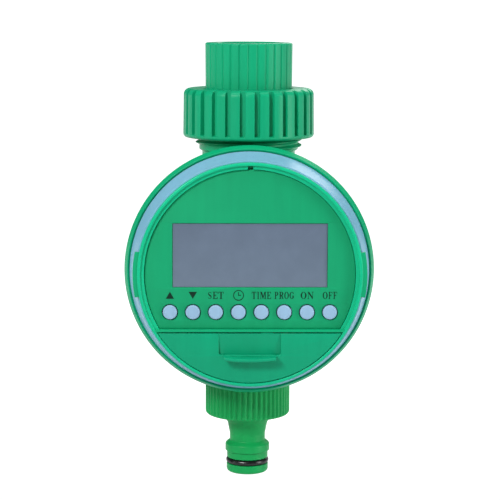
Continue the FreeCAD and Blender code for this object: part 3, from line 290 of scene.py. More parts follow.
def thread(h, angle, start, pitch, height, crest, base, turns, lead=0.0):
    """A right-hand thread's rise above its core, for points on a cylinder.

    The ridge's centre climbs pitch a turn and passes start at angle zero.  A point's rise falls from
    height within crest of the ridge's centre to none at base.  The ridge runs from lead turns before
    that place to turns after it, and fades over the first and last twelfth of a turn.
    """
    phase = (h - start) / pitch - angle / (2 * math.pi)
    turn = np.round(phase)
    distance = np.abs(phase - turn) * pitch
    along = turn + angle / (2 * math.pi)
    rise = np.clip((base - distance) / (base - crest), 0, 1) * height
    return rise * ramp(along, -lead, 0.08 - lead) * (1 - ramp(along, turns - 0.08, turns))


# ---- materials -------------------------------------------------------------------------------------


def colour(code):
    """An sRGB hex value as linear red, green, blue and alpha."""
    parts = [int(code[k:k + 2], 16) / 255 for k in (0, 2, 4)]
    return [c / 12.92 if c <= 0.04045 else ((c + 0.055) / 1.055) ** 2.4 for c in parts] + [1.0]


def node(tree, kind, inputs=None, **settings):
    """Adds a node with its settings; an input is a value, or (node, output) to link from."""
    item = tree.nodes.new(kind)
    for key, value in settings.items():
        setattr(item, key, value)
    for key, value in (inputs or {}).items():
        if isinstance(value, tuple) and isinstance(value[0], bpy.types.Node):
            tree.links.new(value[0].outputs[value[1]], item.inputs[key])
        else:
            item.inputs[key].default_value = value
    return item


def new_material(name):
    """An empty material: its node tree, texture coordinates and shader."""
    material = bpy.data.materials.new(name)
    material.use_nodes = True
    tree = material.node_tree
    tree.nodes.clear()
    place = node(tree, "ShaderNodeTexCoord")
    shader = node(tree, "ShaderNodeBsdfPrincipled")
    node(tree, "ShaderNodeOutputMaterial", {"Surface": (shader, "BSDF")})
    return material, tree, place, shader


def blend_colours(tree, factor, dark, light):
    """A colour between two, by a factor."""
    mix = node(tree, "ShaderNodeMix", {"Factor": factor}, data_type="RGBA")
    mix.inputs[6].default_value = dark
    mix.inputs[7].default_value = light
    return mix


def shaded(rgba, share):
    """A colour made darker or lighter by a share."""
    return [min(1.0, c * share) for c in rgba[:3]] + [1.0]


def spread(tree, value, low, high, start=0.3, end=0.7):
    """A noise value carried over to a range."""
    return node(tree, "ShaderNodeMapRange", {
        "Value": value, "From Min": start, "From Max": end, "To Min": low, "To Max": high})


def dress(tree, shader, mix, rough, bump):
    """Gives a shader its colour, roughness and bump."""
    tree.links.new(mix.outputs[2], shader.inputs["Base Color"])
    tree.links.new(rough.outputs["Result"], shader.inputs["Roughness"])
    tree.links.new(bump.outputs["Normal"], shader.inputs["Normal"])


def moulded(name, code, roughness=0.38, grain=0.5, depth=0.012, drift=0.05, bleed=0.0, specular=0.15):
    """Injection-moulded plastic.

    The melt leaves a slow drift of colour tens of millimetres across and a faint flow streak down the
    part; the tool leaves a grain, given in millimetres with its depth, and handling leaves hair
    scratches that change the gloss more than the shape.
    """
    material, tree, place, shader = new_material(name)
    base = colour(code)
    slow = node(tree, "ShaderNodeTexNoise", {
        "Vector": (place, "Object"), "Scale": 1 / (26 * MM), "Detail": 3.0, "Roughness": 0.5})
    stretch = node(tree, "ShaderNodeMapping", {
        "Vector": (place, "Object"), "Scale": (1 / (3.5 * MM), 1 / (3.5 * MM), 1 / (40 * MM))})
    streak = node(tree, "ShaderNodeTexNoise", {
        "Vector": (stretch, "Vector"), "Scale": 1.0, "Detail": 4.0, "Roughness": 0.6})
    both = node(tree, "ShaderNodeMath", {0: (slow, "Fac"), 1: (streak, "Fac")}, operation="ADD")
    level = spread(tree, (both, "Value"), 0.0, 1.0, 0.75, 1.25)
    mix = blend_colours(tree, (level, "Result"), shaded(base, 1 - drift), shaded(base, 1 + drift))
    peel = node(tree, "ShaderNodeTexNoise", {
        "Vector": (place, "Object"), "Scale": 1 / (grain * MM), "Detail": 3.0, "Roughness": 0.55})
    hair_map = node(tree, "ShaderNodeMapping", {
        "Vector": (place, "Object"), "Rotation": (0.4, 0.9, 0.5),
        "Scale": (1 / (0.25 * MM), 1 / (9 * MM), 1 / (0.25 * MM))})
    hair = node(tree, "ShaderNodeTexNoise", {
        "Vector": (hair_map, "Vector"), "Scale": 1.0, "Detail": 2.0, "Roughness": 0.5})
    gloss = node(tree, "ShaderNodeMath", {0: (peel, "Fac"), 1: (hair, "Fac")}, operation="ADD")
    rough = spread(tree, (gloss, "Value"), roughness - 0.05, roughness + 0.07, 0.75, 1.25)
    bump = node(tree, "ShaderNodeBump", {
        "Height": (gloss, "Value"), "Distance": depth * MM, "Strength": 0.6})
    dress(tree, shader, mix, rough, bump)
    shader.inputs["IOR"].default_value = 1.53
    shader.inputs["Specular IOR Level"].default_value = specular
    if bleed:
        shader.inputs["Subsurface Weight"].default_value = bleed
        shader.inputs["Subsurface Radius"].default_value = (1.2 * MM, 1.6 * MM, 1.2 * MM)
        shader.inputs["Subsurface Scale"].default_value = 1.0
    return material


def rubber(name, code, roughness=0.55):
    """Moulded rubber: matt, with a bloom of fine powder and a faint pebbled surface."""
    material, tree, place, shader = new_material(name)
    base = colour(code)
    bloom = node(tree, "ShaderNodeTexNoise", {
        "Vector": (place, "Object"), "Scale": 1 / (2.2 * MM), "Detail": 5.0, "Roughness": 0.65})
    level = spread(tree, (bloom, "Fac"), 0.0, 1.0)
    mix = blend_colours(tree, (level, "Result"), base, shaded(base, 1.7))
    pebble = node(tree, "ShaderNodeTexNoise", {
        "Vector": (place, "Object"), "Scale": 1 / (0.22 * MM), "Detail": 2.0})
    rough = spread(tree, (bloom, "Fac"), roughness - 0.1, roughness + 0.1)
    bump = node(tree, "ShaderNodeBump", {"Height": (pebble, "Fac"), "Distance": 0.02 * MM, "Strength": 0.5})
    dress(tree, shader, mix, rough, bump)
    shader.inputs["IOR"].default_value = 1.5
    return material


def metal(name, code, roughness, line, stretch):
    """Drawn, turned or plated metal: fine lines across the part, closer than they can be counted."""
    material, tree, place, shader = new_material(name)
    base = colour(code)
    lines = node(tree, "ShaderNodeMapping", {
        "Vector": (place, "Object"), "Scale": tuple(share / (line * MM) for share in stretch)})
    fine = node(tree, "ShaderNodeTexNoise", {
        "Vector": (lines, "Vector"), "Scale": 1.0, "Detail": 4.0, "Roughness": 0.6})
    stain = node(tree, "ShaderNodeTexNoise", {
        "Vector": (place, "Object"), "Scale": 1 / (5 * MM), "Detail": 3.0})
    level = spread(tree, (stain, "Fac"), 0.0, 1.0)
    mix = blend_colours(tree, (level, "Result"), shaded(base, 0.88), base)
    rough = spread(tree, (fine, "Fac"), roughness - 0.08, roughness + 0.1)
    bump = node(tree, "ShaderNodeBump", {"Height": (fine, "Fac"), "Distance": 0.004 * MM, "Strength": 0.4})
    dress(tree, shader, mix, rough, bump)
    shader.inputs["Metallic"].default_value = 1.0
    return material


def display_film():
    """The display behind its clear window: a grey polariser with painted shade that darkens it towards the
    top, and dust.
    """
    material, tree, place, shader = new_material("polariser_film_laminated")
    split = node(tree, "ShaderNodeSeparateXYZ", {"Vector": (place, "Object")})
    low, high = LENS_LOW[2] * MM, LENS_HIGH[2] * MM
    # painted shade: the grey is darkened from the bottom of the window to its top
    painted_shade_fade = spread(tree, (split, "Z"), 0.0, 1.0, low, high)
    mix = blend_colours(tree, (painted_shade_fade, "Result"), colour(LCD_LOW_LIT), colour(LCD_HIGH_SHADED))
    cloud = node(tree, "ShaderNodeTexNoise", {
        "Vector": (place, "Object"), "Scale": 1 / (9 * MM), "Detail": 4.0, "Roughness": 0.55})
    level = spread(tree, (cloud, "Fac"), 0.94, 1.05)
    tone = node(tree, "ShaderNodeVectorMath", {0: (mix, 2), 1: (level, "Result")}, operation="MULTIPLY")
    dust = node(tree, "ShaderNodeTexNoise", {
        "Vector": (place, "Object"), "Scale": 1 / (0.5 * MM), "Detail": 2.0})
    rough = spread(tree, (dust, "Fac"), 0.22, 0.27)
    tree.links.new(tone.outputs["Vector"], shader.inputs["Base Color"])
    tree.links.new(rough.outputs["Result"], shader.inputs["Roughness"])
    shader.inputs["IOR"].default_value = 1.49
    return material


def solder_mask():
    """Glass-fibre laminate under green solder mask: the weave shows through, and copper runs lighten it."""
    material, tree, place, shader = new_material("fr4_solder_masked")
    weave = node(tree, "ShaderNodeTexChecker", {"Vector": (place, "Object"), "Scale": 1 / (0.6 * MM)})
    runs = node(tree, "ShaderNodeTexBrick", {
        "Vector": (place, "Object"), "Scale": 1 / (7 * MM), "Mortar Size": 0.03})
    run = node(tree, "ShaderNodeMath", {0: (runs, "Fac"), 1: 0.6}, operation="MULTIPLY")
    faint = node(tree, "ShaderNodeMath", {0: (weave, "Fac"), 1: 0.12, 2: (run, "Value")},
                 operation="MULTIPLY_ADD")
    mix = blend_colours(tree, (faint, "Value"), colour("0B5A2E"), colour("2E8F52"))
    bump = node(tree, "ShaderNodeBump", {"Height": (run, "Value"), "Distance": 0.03 * MM, "Strength": 0.5})
    tree.links.new(mix.outputs[2], shader.inputs["Base Color"])
    tree.links.new(bump.outputs["Normal"], shader.inputs["Normal"])
    shader.inputs["Roughness"].default_value = 0.3
    return material


def cell_sleeve():
    """A shrink-wrapped sleeve: dark for most of its length, with a metallic copper-coloured end."""
    material, tree, place, shader = new_material("pvc_sleeve_shrunk")
    split = node(tree, "ShaderNodeSeparateXYZ", {"Vector": (place, "Object")})
    band = node(tree, "ShaderNodeMath", {0: (split, "X"), 1: 9 * MM}, operation="GREATER_THAN")
    mix = blend_colours(tree, (band, "Value"), colour("1B1D22"), colour("B4703A"))
    wrinkle = node(tree, "ShaderNodeTexNoise", {
        "Vector": (place, "Object"), "Scale": 1 / (1.6 * MM), "Detail": 3.0})
    rough = spread(tree, (wrinkle, "Fac"), 0.2, 0.36)
    bump = node(tree, "ShaderNodeBump", {"Height": (wrinkle, "Fac"), "Distance": 0.02 * MM, "Strength": 0.4})
    dress(tree, shader, mix, rough, bump)
    shader.inputs["Metallic"].default_value = 0.4
    return material


# the film's grey at the bottom and at the top of the window; the darker top is painted shade
LCD_LOW_LIT = "5F6E80"
LCD_HIGH_SHADED = "59677A"

MATERIALS = {
    "shell": moulded("abs_shell_moulded", "069A68", roughness=0.36),
    "rim": moulded("abs_drum_moulded", "059A68", roughness=0.34),
    "face": moulded("abs_face_spark_textured", "0C9463", roughness=0.5, grain=0.35, depth=0.02),
    "door": moulded("abs_door_moulded", "06946B", roughness=0.4),
    # the ring's green is the case's green painted lighter, a painted highlight for its lit front
    "ring": moulded("abs_ring_glossy_painted_light", "0CB080", roughness=0.3),
    "nut": moulded("abs_nut_moulded", "08986A", roughness=0.38),
    "outlet": moulded("polypropylene_outlet_moulded", "12984F", roughness=0.4, bleed=0.05),
    "seal": moulded("tpe_seal_moulded", "74A8C0", roughness=0.32, grain=0.9, depth=0.008, bleed=0.15),
    "button": moulded("abs_button_moulded", "8CADC8", roughness=0.42, grain=0.3),
    "ink": moulded("screen_ink_printed", "052A1E", roughness=0.6, grain=0.2, depth=0.01),
    "rubber": rubber("nitrile_rubber_moulded", "0A0B0C", 0.3),
    "silicone": rubber("silicone_sheet_moulded", "8C9096", 0.5),
    "wire": rubber("pvc_insulation_extruded", "26282B", 0.4),
    "ptfe": moulded("ptfe_turned", "EDEDE8", roughness=0.45, bleed=0.1),
    "acetal": moulded("acetal_moulded", "E4E2DA", roughness=0.35, bleed=0.05),
    "nylon": moulded("nylon_filter_moulded", "E6E4DC", roughness=0.5),
    "epoxy": moulded("epoxy_package_moulded", "17181A", roughness=0.55, grain=0.2),
    "chrome": metal("brass_ball_chromed", "D9DADC", 0.14, 0.4, (1, 1, 1)),
    "brass": metal("brass_turned", "C8A052", 0.28, 0.12, (1, 8, 1)),
    "steel": metal("steel_zinc_plated", "C3C5C8", 0.34, 0.2, (1, 1, 6)),
    "display": display_film(),
    "glass": moulded("display_glass_cut", "9AA39B", roughness=0.15, grain=1.5, depth=0.003),
    "laminate": solder_mask(),
    "sleeve": cell_sleeve(),
}

# ---- placing pieces --------------------------------------------------------------------------------


def set_piece(piece, body, material, slot, *stands_for):
    """Gives a finished piece its material and its body, and hides the CAD nodes that it stands for."""
    piece.data.materials.clear()
    piece.data.materials.append(MATERIALS[material])
    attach(piece, body)
    if stands_for:
        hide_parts(*stands_for)
    return piece


def body_of(node_name):
    """The body that a CAD node belongs to."""
    bodies = frame["record"]["behaviour"]["bodies"]
    return next(body for body, members in bodies.items() if node_name in members)


def welded(node_name, material, slot, sharp=28.0):
    """The CAD node's own shape, welded and smoothly shaded."""
    mesh = frame["nodes"][node_name].data.copy()
    piece = finish_mesh(f"{node_name}_surface", mesh, sharp)
    return set_piece(piece, body_of(node_name), material, slot, node_name)


# ---- inlet -----------------------------------------------------------------------------------------

BARREL_RADIUS = 17.2
BARREL_FLUTES = 30
FLUTE_FIRST = math.radians(-91.6)


def make_barrel():
    """The fluted barrel: a prism of flat facets with a narrow valley at each of its edges.

    A facet's radius is the barrel's times cos(half a facet) / cos(angle from the facet's middle), and a
    valley falls off as a bell with arc length from the facets' edge.  Both stop above the nut.  The
    bore carries the tap thread as a groove cut into the minor diameter.
    """
    flange = 20.4
    path = rounded([
        (12.3, 0.0, 0.15), (BARREL_RADIUS, 0.0, 0.7), (BARREL_RADIUS - 0.15, -20.9), (flange, -20.9, 0.4),
        (flange, -23.3, 0.4), (7.5, -23.3), (7.5, -16.2), (12.5, -16.2), (12.5, -13.9), (12.06, -13.9),
        (12.06, -0.3),
    ])
    path = finer(path, 0.16, lambda r, h: r < 12.1 and -13.7 < h < -0.3)
    path = finer(path, 1.2, lambda r, h: r > 16 and h > -20)
    pitch = 2 * math.pi / BARREL_FLUTES
    steps = np.array([-0.5, -0.4, -0.3, -0.2, -0.15, -0.11, -0.07, -0.035,
                      0.0, 0.035, 0.07, 0.11, 0.15, 0.2, 0.3, 0.4]) * pitch
    angles = FLUTE_FIRST + np.arange(BARREL_FLUTES)[:, None] * pitch + steps
    angles = np.sort(angles.ravel() % (2 * math.pi))

    def shape(r, h, angle):
        off = np.abs((angle - FLUTE_FIRST + pitch / 2) % pitch - pitch / 2)
        facet = BARREL_RADIUS * (1 - math.cos(pitch / 2) / np.cos(pitch / 2 - off))
        valley = 0.5 * np.exp(-(off * BARREL_RADIUS / 0.36) ** 2)
        spare = np.clip(r - (BARREL_RADIUS - 1.2), 0, None)
        fluted = r - np.minimum((valley + facet) * ramp(h, -19.0, -18.2), spare)
        bore = r + thread(h, angle, -12.65, 1.814, 1.16, 0.08, 0.62, 6.0)
        outside = (r > 15.9) & (h > -19)
        inside = (r < 12.1) & (h < -0.25) & (h > -13.8)
        return np.where(outside, fluted, np.where(inside, bore, r))

    set_piece(turned("barrel", path, angles, shape=shape), "inlet_swivel", "nut", "green_fitting",
              "inlet_adaptor")


def make_nut():
    """The ribbed nut: straight grooves with steep sides, blind at the bottom and running out on top.

    A groove lowers the surface to its floor's radius and no further, so it ends by itself where the
    rounded shoulder comes down to that radius.  Each rib is crowned a little across its width.
    """
    ribs = 28
    bottom, top = NUT_LOW[2], NUT_HIGH[2]
    radius = NUT_HIGH[0]
    floor = radius - 2.05
    bore = 21.25
    lip = top - 2.3
    path = rounded([
        (17.25, top, 0.3), (radius - 0.2, top, 2.4), (radius, bottom, 1.2), (bore + 0.6, bottom, 0.2),
        (bore, bottom + 0.7), (bore, lip), (17.25, lip),
    ], steps=8)
    path = finer(path, 1.0, lambda r, h: r > radius - 1)
    path = finer(path, 0.16, lambda r, h: r > radius - 1 and bottom + 1.3 < h < bottom + 2.4)
    path = finer(path, 0.25, lambda r, h: r < bore + 0.15 and bottom + 0.9 < h < top - 5)
    path = finer(path, 0.35, lambda r, h: r > 22.5 and h > top - 2.5)
    pitch = 2 * math.pi / ribs
    half = 1.02 / radius
    edge = np.array([-0.30, -0.12, 0.0, 0.10, 0.2, 0.34]) / radius
    steps = np.concatenate([[-pitch / 2, -pitch * 0.36, -pitch * 0.27], -half - edge[::-1],
                            [-half * 0.4, 0.0, half * 0.4], half + edge, [pitch * 0.27, pitch * 0.36]])
    first = -math.pi / 2 + pitch / 2
    angles = np.sort((first + np.arange(ribs)[:, None] * pitch + steps).ravel() % (2 * math.pi))

    def shape(r, h, angle):
        off = np.abs((angle - first + pitch / 2) % pitch - pitch / 2) * radius
        groove = (1 - ramp(off, 0.86, 1.16)) * ramp(h, bottom + 1.4, bottom + 1.9)
        crown = np.where((r > radius - 0.6) & (groove <= 0), 0.1 * ramp(off, 1.2, 2.8) - 0.1, 0)
        outer = r - groove * np.clip(r - floor, 0, None) + crown
        inner = r - thread(h, angle, -34.3275, 2.309, 1.5, 0.17, 0.98, 2.0)
        return np.where(r > 22.4, outer, np.where(np.abs(r - bore) < 0.01, inner, r))

    set_piece(turned("ribbed_nut", path, angles, shape=shape), "coupling_nut", "nut", "green_fitting",
              "coupling_nut")


# ---- housing ---------------------------------------------------------------------------------------


def make_housing():
    """The pipe with its two outer threads, and the drum with its rim, ledge, web and screw posts."""
    neck_top, drum_top = -25.5, DIAL_Z + 42
    chamber = DIAL_Z + 9.7
    spigot_end = -145.0
    flange = -129.8
    path = rounded([
        (14.0, neck_top), (19.47, neck_top, 0.5), (19.47, -41.6, 0.3), (18.3, -42.4, 0.5), (18.3, drum_top),
        (13.0, drum_top), (9.0, drum_top - 8), (9.0, drum_top - 28), (12.2, drum_top - 31), (12.2, flange),
        (15.6, flange, 0.4), (15.6, -132.9, 0.4), (12.06, -132.9), (12.06, spigot_end, 0.3),
        (9.6, spigot_end), (9.6, chamber), (6.0, chamber), (6.0, neck_top - 17), (14.0, neck_top - 9),
    ])
    path = finer(path, 0.17, lambda r, h: r > 19.4 and h < -26)
    path = finer(path, 0.16, lambda r, h: 12.0 < r < 12.1 and h < -133)

    def shape(r, h, angle):
        neck = thread(h, angle, -40.1, 2.309, 1.48, 0.15, 0.92, 5.7, lead=0.2)
        spigot = thread(h, angle, -143.7, 1.814, 1.06, 0.1, 0.72, 5.0)
        raised = np.where((r > 19.4) & (h > -41.6) & (h < -25.9), neck, 0)
        raised = np.where((np.abs(r - 12.06) < 0.02) & (h < -133), spigot, raised)
        return r + raised

    pipe = turned("threaded_pipe", path, even(192), shape=shape)
    drum_path = rounded([
        (39.2, -14.0), (41.2, -14.0, 0.4), (45.8, 22.0, 3.0), (47.75, 24.6, 1.2), (48.05, 26.0, 0.5),
        (46.75, 28.9, 0.3), (45.95, 28.3, 0.15), (45.95, 27.95), (43.6, 27.95), (43.6, 22.0),
    ])
    drum = turned("drum", drum_path, even(288), about_dial)
    idler = box_mm("idler_axle")
    motor = box_mm("motor_shaft")
    motor_x, motor_y = (motor[0] + motor[1])[[0, 2]] / 2 - (0, DIAL_Z)
    web_holes = [
        circle(6.4),
        rectangle(motor_x - 6.15, motor_x + 6.15, motor_y - 5.15, motor_y + 5.15, 0.5),
        rectangle(-31, -25, -7.5, 3.5, 0.5),
    ]
    web = plate_mesh([circle(42.4, count=160)] + web_holes, 11.7, 13.2, 0.2)
    gland = turned("gland_ring", rounded([(4.8, 9.0), (6.6, 9.0), (6.6, 13.2, 0.2), (4.8, 13.2, 0.2)]),
                   even(64), about_dial)
    posts = []
    for x, y in POSTS:
        post = rounded([(1.5, -14.0, 0.2), (4.0, -14.0, 0.2), (4.0, 12.5), (1.5, 12.5)])
        posts.append(turned("post", post, even(40), lambda r, w, a, x=x, y=y: about_dial(r, w, a, x, y)))
    parts = [pipe, drum, gland] + posts
    housing = joined("housing", [part.data for part in parts] + [web])
    for part in parts:
        bpy.data.objects.remove(part)
    set_piece(housing, "valve_body", "rim", "green_shell", "valve_housing")


def screw_mesh(x, y, face, length, radius, shank):
    """A pan-head screw along the dial's axis, its head to the back, with a cross recess.

    The head's surface sinks where a point is within the cross's arms, by a depth that fades toward the
    ends of the arms.
    """
    rows = np.concatenate([np.linspace(0, 0.92 * radius, 16), rounded(
        [(0.9 * radius, 0), (radius, 0, 0.12 * radius), (radius, -0.9)], closed=False, steps=4)[1:, 0]])
    crown = 0.28 * radius * (1 - (np.clip(rows, 0, radius) / radius) ** 2)
    rows = np.append(rows, [radius, shank, shank, 0.0])
    depth = np.append(crown, [-0.25 * radius, -0.25 * radius, -length, -length])
    angles = even(64)
    r = np.broadcast_to(rows[:, None], (len(rows), 64))
    w = np.broadcast_to(depth[:, None], r.shape).copy()
    u, v = r * np.cos(angles), r * np.sin(angles)
    arm = 0.16 * radius
    near = np.minimum(np.abs(u), np.abs(v))
    sink = (1 - ramp(near, arm * 0.7, arm * 1.1)) * (1 - ramp(r, 0.42 * radius, 0.62 * radius))
    w = np.where(w > -0.2 * radius, w - sink * 0.45 * radius, w)
    points = np.stack([x + u, -(face - w), DIAL_Z + y + v], -1).reshape(-1, 3)
    piece = make_piece("screw", points, grid_faces(len(rows), 64, False, True))
    mesh = piece.data
    bpy.data.objects.remove(piece)
    return mesh


def make_screws():
    """The four screws of the rear cover."""
    rear = [screw_mesh(x, y, -20.0, 12.0, 2.8, 1.5) for x, y in POSTS]
    set_piece(joined("rear_screws", rear), "valve_body", "steel", "zinc_steel", "rear_cover_screws")


# ---- control module --------------------------------------------------------------------------------

CASE_BAND = 39.95


def make_case():
    """The dial's ring, its lugs, the bar over the door and the tray for the cells.

    The ring is turned, and within the release slot at the top its band is pushed back to the slot's
    floor.
    """
    path = rounded([
        (40.2, 28.4), (RING_RADIUS, 28.4, 0.3), (RING_RADIUS, RING_FRONT, 0.55), (41.45, RING_FRONT, 0.3),
        (41.45, CASE_BAND, 0.12), (40.02, CASE_BAND, 0.2), (40.02, 37.2), (38.9, 37.2), (38.9, 36.2),
        (40.2, 35.0),
    ])
    edge = 1.0 / 40.7
    sides = np.array([-edge - 0.0005, -edge, edge, edge + 0.0005])
    angles = np.sort(np.concatenate([even(300), math.pi / 2 + sides]))

    def release_slot(r, w, angle):
        slot = (np.abs(angle - math.pi / 2) <= edge + 1e-4) & (r < 41.44) & (w > 37.3)
        return about_dial(np.where(slot, 41.4, r), np.where(slot, np.where(r > 40.6, w, 37.3), w), angle)

    ring = turned("case_ring", path, angles, release_slot)
    # the ring takes the lighter, painted-light green of its moulding
    set_piece(ring, "control_module", "ring", "green_shell")

    lugs = []
    for first, last in ((-11.2, 11.9), (168.1, 191.2)):
        outline = np.concatenate([arc(44.3, first + 0.3, last - 0.3, 30), arc(42.3, last, first, 30)])
        lugs.append(plate_mesh([outline], 39.1, 40.7, 0.25))
    # the lugs take the darker shell green as painted shade, though they are one moulding with the ring
    set_piece(joined("case_lugs", lugs), "control_module", "shell", "green_shell")

    bar = plate_mesh([rectangle(-35.9, 35.9, BAR_BOTTOM, BAR_TOP)], 36.6, RING_FRONT, 0.12)
    seat = plate_mesh([rectangle(-34.6, 34.6, BAR_BOTTOM + 0.05, TRAY_TOP)], 36.6, 37.15, 0.05)
    shelf_edge = math.degrees(math.asin(-BAR_BOTTOM / 40.4))
    shelf = plate_mesh([arc(40.4, 180 + shelf_edge, 360 - shelf_edge, 120), tray_mouth()], 37.3, 38.9, 0.1)
    walls = [
        plate_mesh([rectangle(-TRAY_HALF, -TRAY_ROOM_HALF, -32.6, -19.7)], TRAY_BACK, TRAY_FRONT, 0.15),
        plate_mesh([rectangle(TRAY_ROOM_HALF, TRAY_HALF, -32.6, -19.7)], TRAY_BACK, TRAY_FRONT, 0.15),
        plate_mesh([rectangle(-TRAY_HALF, TRAY_HALF, -33.0, -31.9)], TRAY_BACK, TRAY_FRONT, 0.15),
        plate_mesh([rectangle(-34.6, 34.6, -20.6, TRAY_TOP)], TRAY_BACK + 12.7, 37.1, 0.1),
        plate_mesh([rectangle(-TRAY_HALF, TRAY_HALF, -20.6, TRAY_TOP)], TRAY_BACK, 30.0, 0.1),
        plate_mesh([rectangle(-TRAY_HALF, TRAY_HALF, -33.0, TRAY_TOP)], TRAY_BACK - 0.05, 16.8, 0.15),
    ]
    tray = joined("cell_tray", [bar, seat, shelf] + walls)
    set_piece(tray, "control_module", "shell", "green_shell", "control_case")


def tray_mouth():
    """The opening of the cells' room in the shelf."""
    return rectangle(-TRAY_ROOM_HALF, TRAY_ROOM_HALF, -31.9, BAR_BOTTOM - 0.05)


def make_seal():
    """The soft ring between drum and module: a cone with a flat foot and a thin lip under the ring."""
    path = rounded([
        (RING_RADIUS + 0.02, 28.35), (45.88, 28.35, 0.2), (45.88, 28.9, 0.3), (43.55, 37.2, 0.5),
        (43.35, 38.0, 0.2), (43.3, 38.9, 0.25), (RING_RADIUS + 0.02, 38.95),
    ])
    set_piece(turned("blue_seal", path, even(288), about_dial), "control_module", "seal",
              "light_blue_seal", "seal_ring")


def face_outline(radius, bottom):
    """A disc cut off straight below."""
    low = math.degrees(math.asin(bottom / radius))
    return arc(radius, low, 180 - low, 240)


def make_face():
    """The face plate with its window and button holes, the display and the caps."""
    window = rectangle(LENS_LOW[0] - 0.08, LENS_HIGH[0] + 0.08,
                       LENS_LOW[2] - DIAL_Z - 0.08, LENS_HIGH[2] - DIAL_Z + 0.08, 0.25)
    holes = [circle(3.05, x, BUTTON_ROW) for x in button_columns()]
    face = plate("face", [face_outline(FACE_RADIUS - 0.02, PLATE_BOTTOM), window] + holes,
                 PLATE_BACK, PLATE_FRONT, 0.16)
    set_piece(face, "control_module", "face", "green_shell", "face_plate")
    lens = plate("display_window", [rectangle(LENS_LOW[0], LENS_HIGH[0], LENS_LOW[2] - DIAL_Z,
                                              LENS_HIGH[2] - DIAL_Z, 0.25)],
                 -LENS_HIGH[1], -LENS_LOW[1], 0.12)
    set_piece(lens, "control_module", "display", "grey_display", "lcd_lens")
    cap = rounded([
        (0.0, 36.2), (3.45, 36.2, 0.15), (3.45, 36.9, 0.15), (2.7, 36.9), (2.7, BUTTON_FRONT - 0.1, 0.4),
        (1.6, BUTTON_FRONT - 0.02, 2.0), (0.0, BUTTON_FRONT),
    ], closed=False)
    for name in BUTTONS:
        low, high = box_mm(f"button_{name}")
        x = (low[0] + high[0]) / 2
        button = turned(f"cap_{name}", cap, even(48),
                        lambda r, w, a, x=x: about_dial(r, w, a, x, BUTTON_ROW), closed=False)
        set_piece(button, f"button_{name}", "button", "button_plastic", f"button_{name}")


def button_columns():
    """Each button's place across the dial, from left to right."""
    for name in BUTTONS:
        low, high = box_mm(f"button_{name}")
        yield (low[0] + high[0]) / 2


def oval(x, y, across, up, first, last, count=20):
    """Points on an ellipse between two angles in degrees."""
    return arc(1.0, first, last, count) * (across, up) + (x, y)


def stemmed(holes, right, gap=0.38):
    """A letter's outline: its upright stem with feet at both ends, the points right of it, and its holes."""
    feet = [(0, 1), (0, 0.94), (0.15, 0.94), (0.15, 0.06), (0, 0.06), (0, 0), (0.5, 0), (0.5, 0.06),
            (gap, 0.06)]
    return [np.array(feet + right)] + holes


def serif_s():
    """The S: a band along two arcs, widest where it crosses from one to the other."""
    above = oval(0.52, 0.745, 0.35, 0.195, 15, 250, 22)
    below = oval(0.48, 0.26, 0.37, 0.2, 75, -165, 22)
    spine = np.concatenate([above, below])
    ahead = np.gradient(spine, axis=0)
    ahead /= np.linalg.norm(ahead, axis=1)[:, None]
    half = 0.035 + 0.075 * np.exp(-(((spine[:, 1] - 0.5) / 0.22) ** 2))
    side = np.stack([-ahead[:, 1], ahead[:, 0]], -1) * half[:, None] * (1.4, 1.0)
    return [np.concatenate([spine + side, (spine - side)[::-1]])]


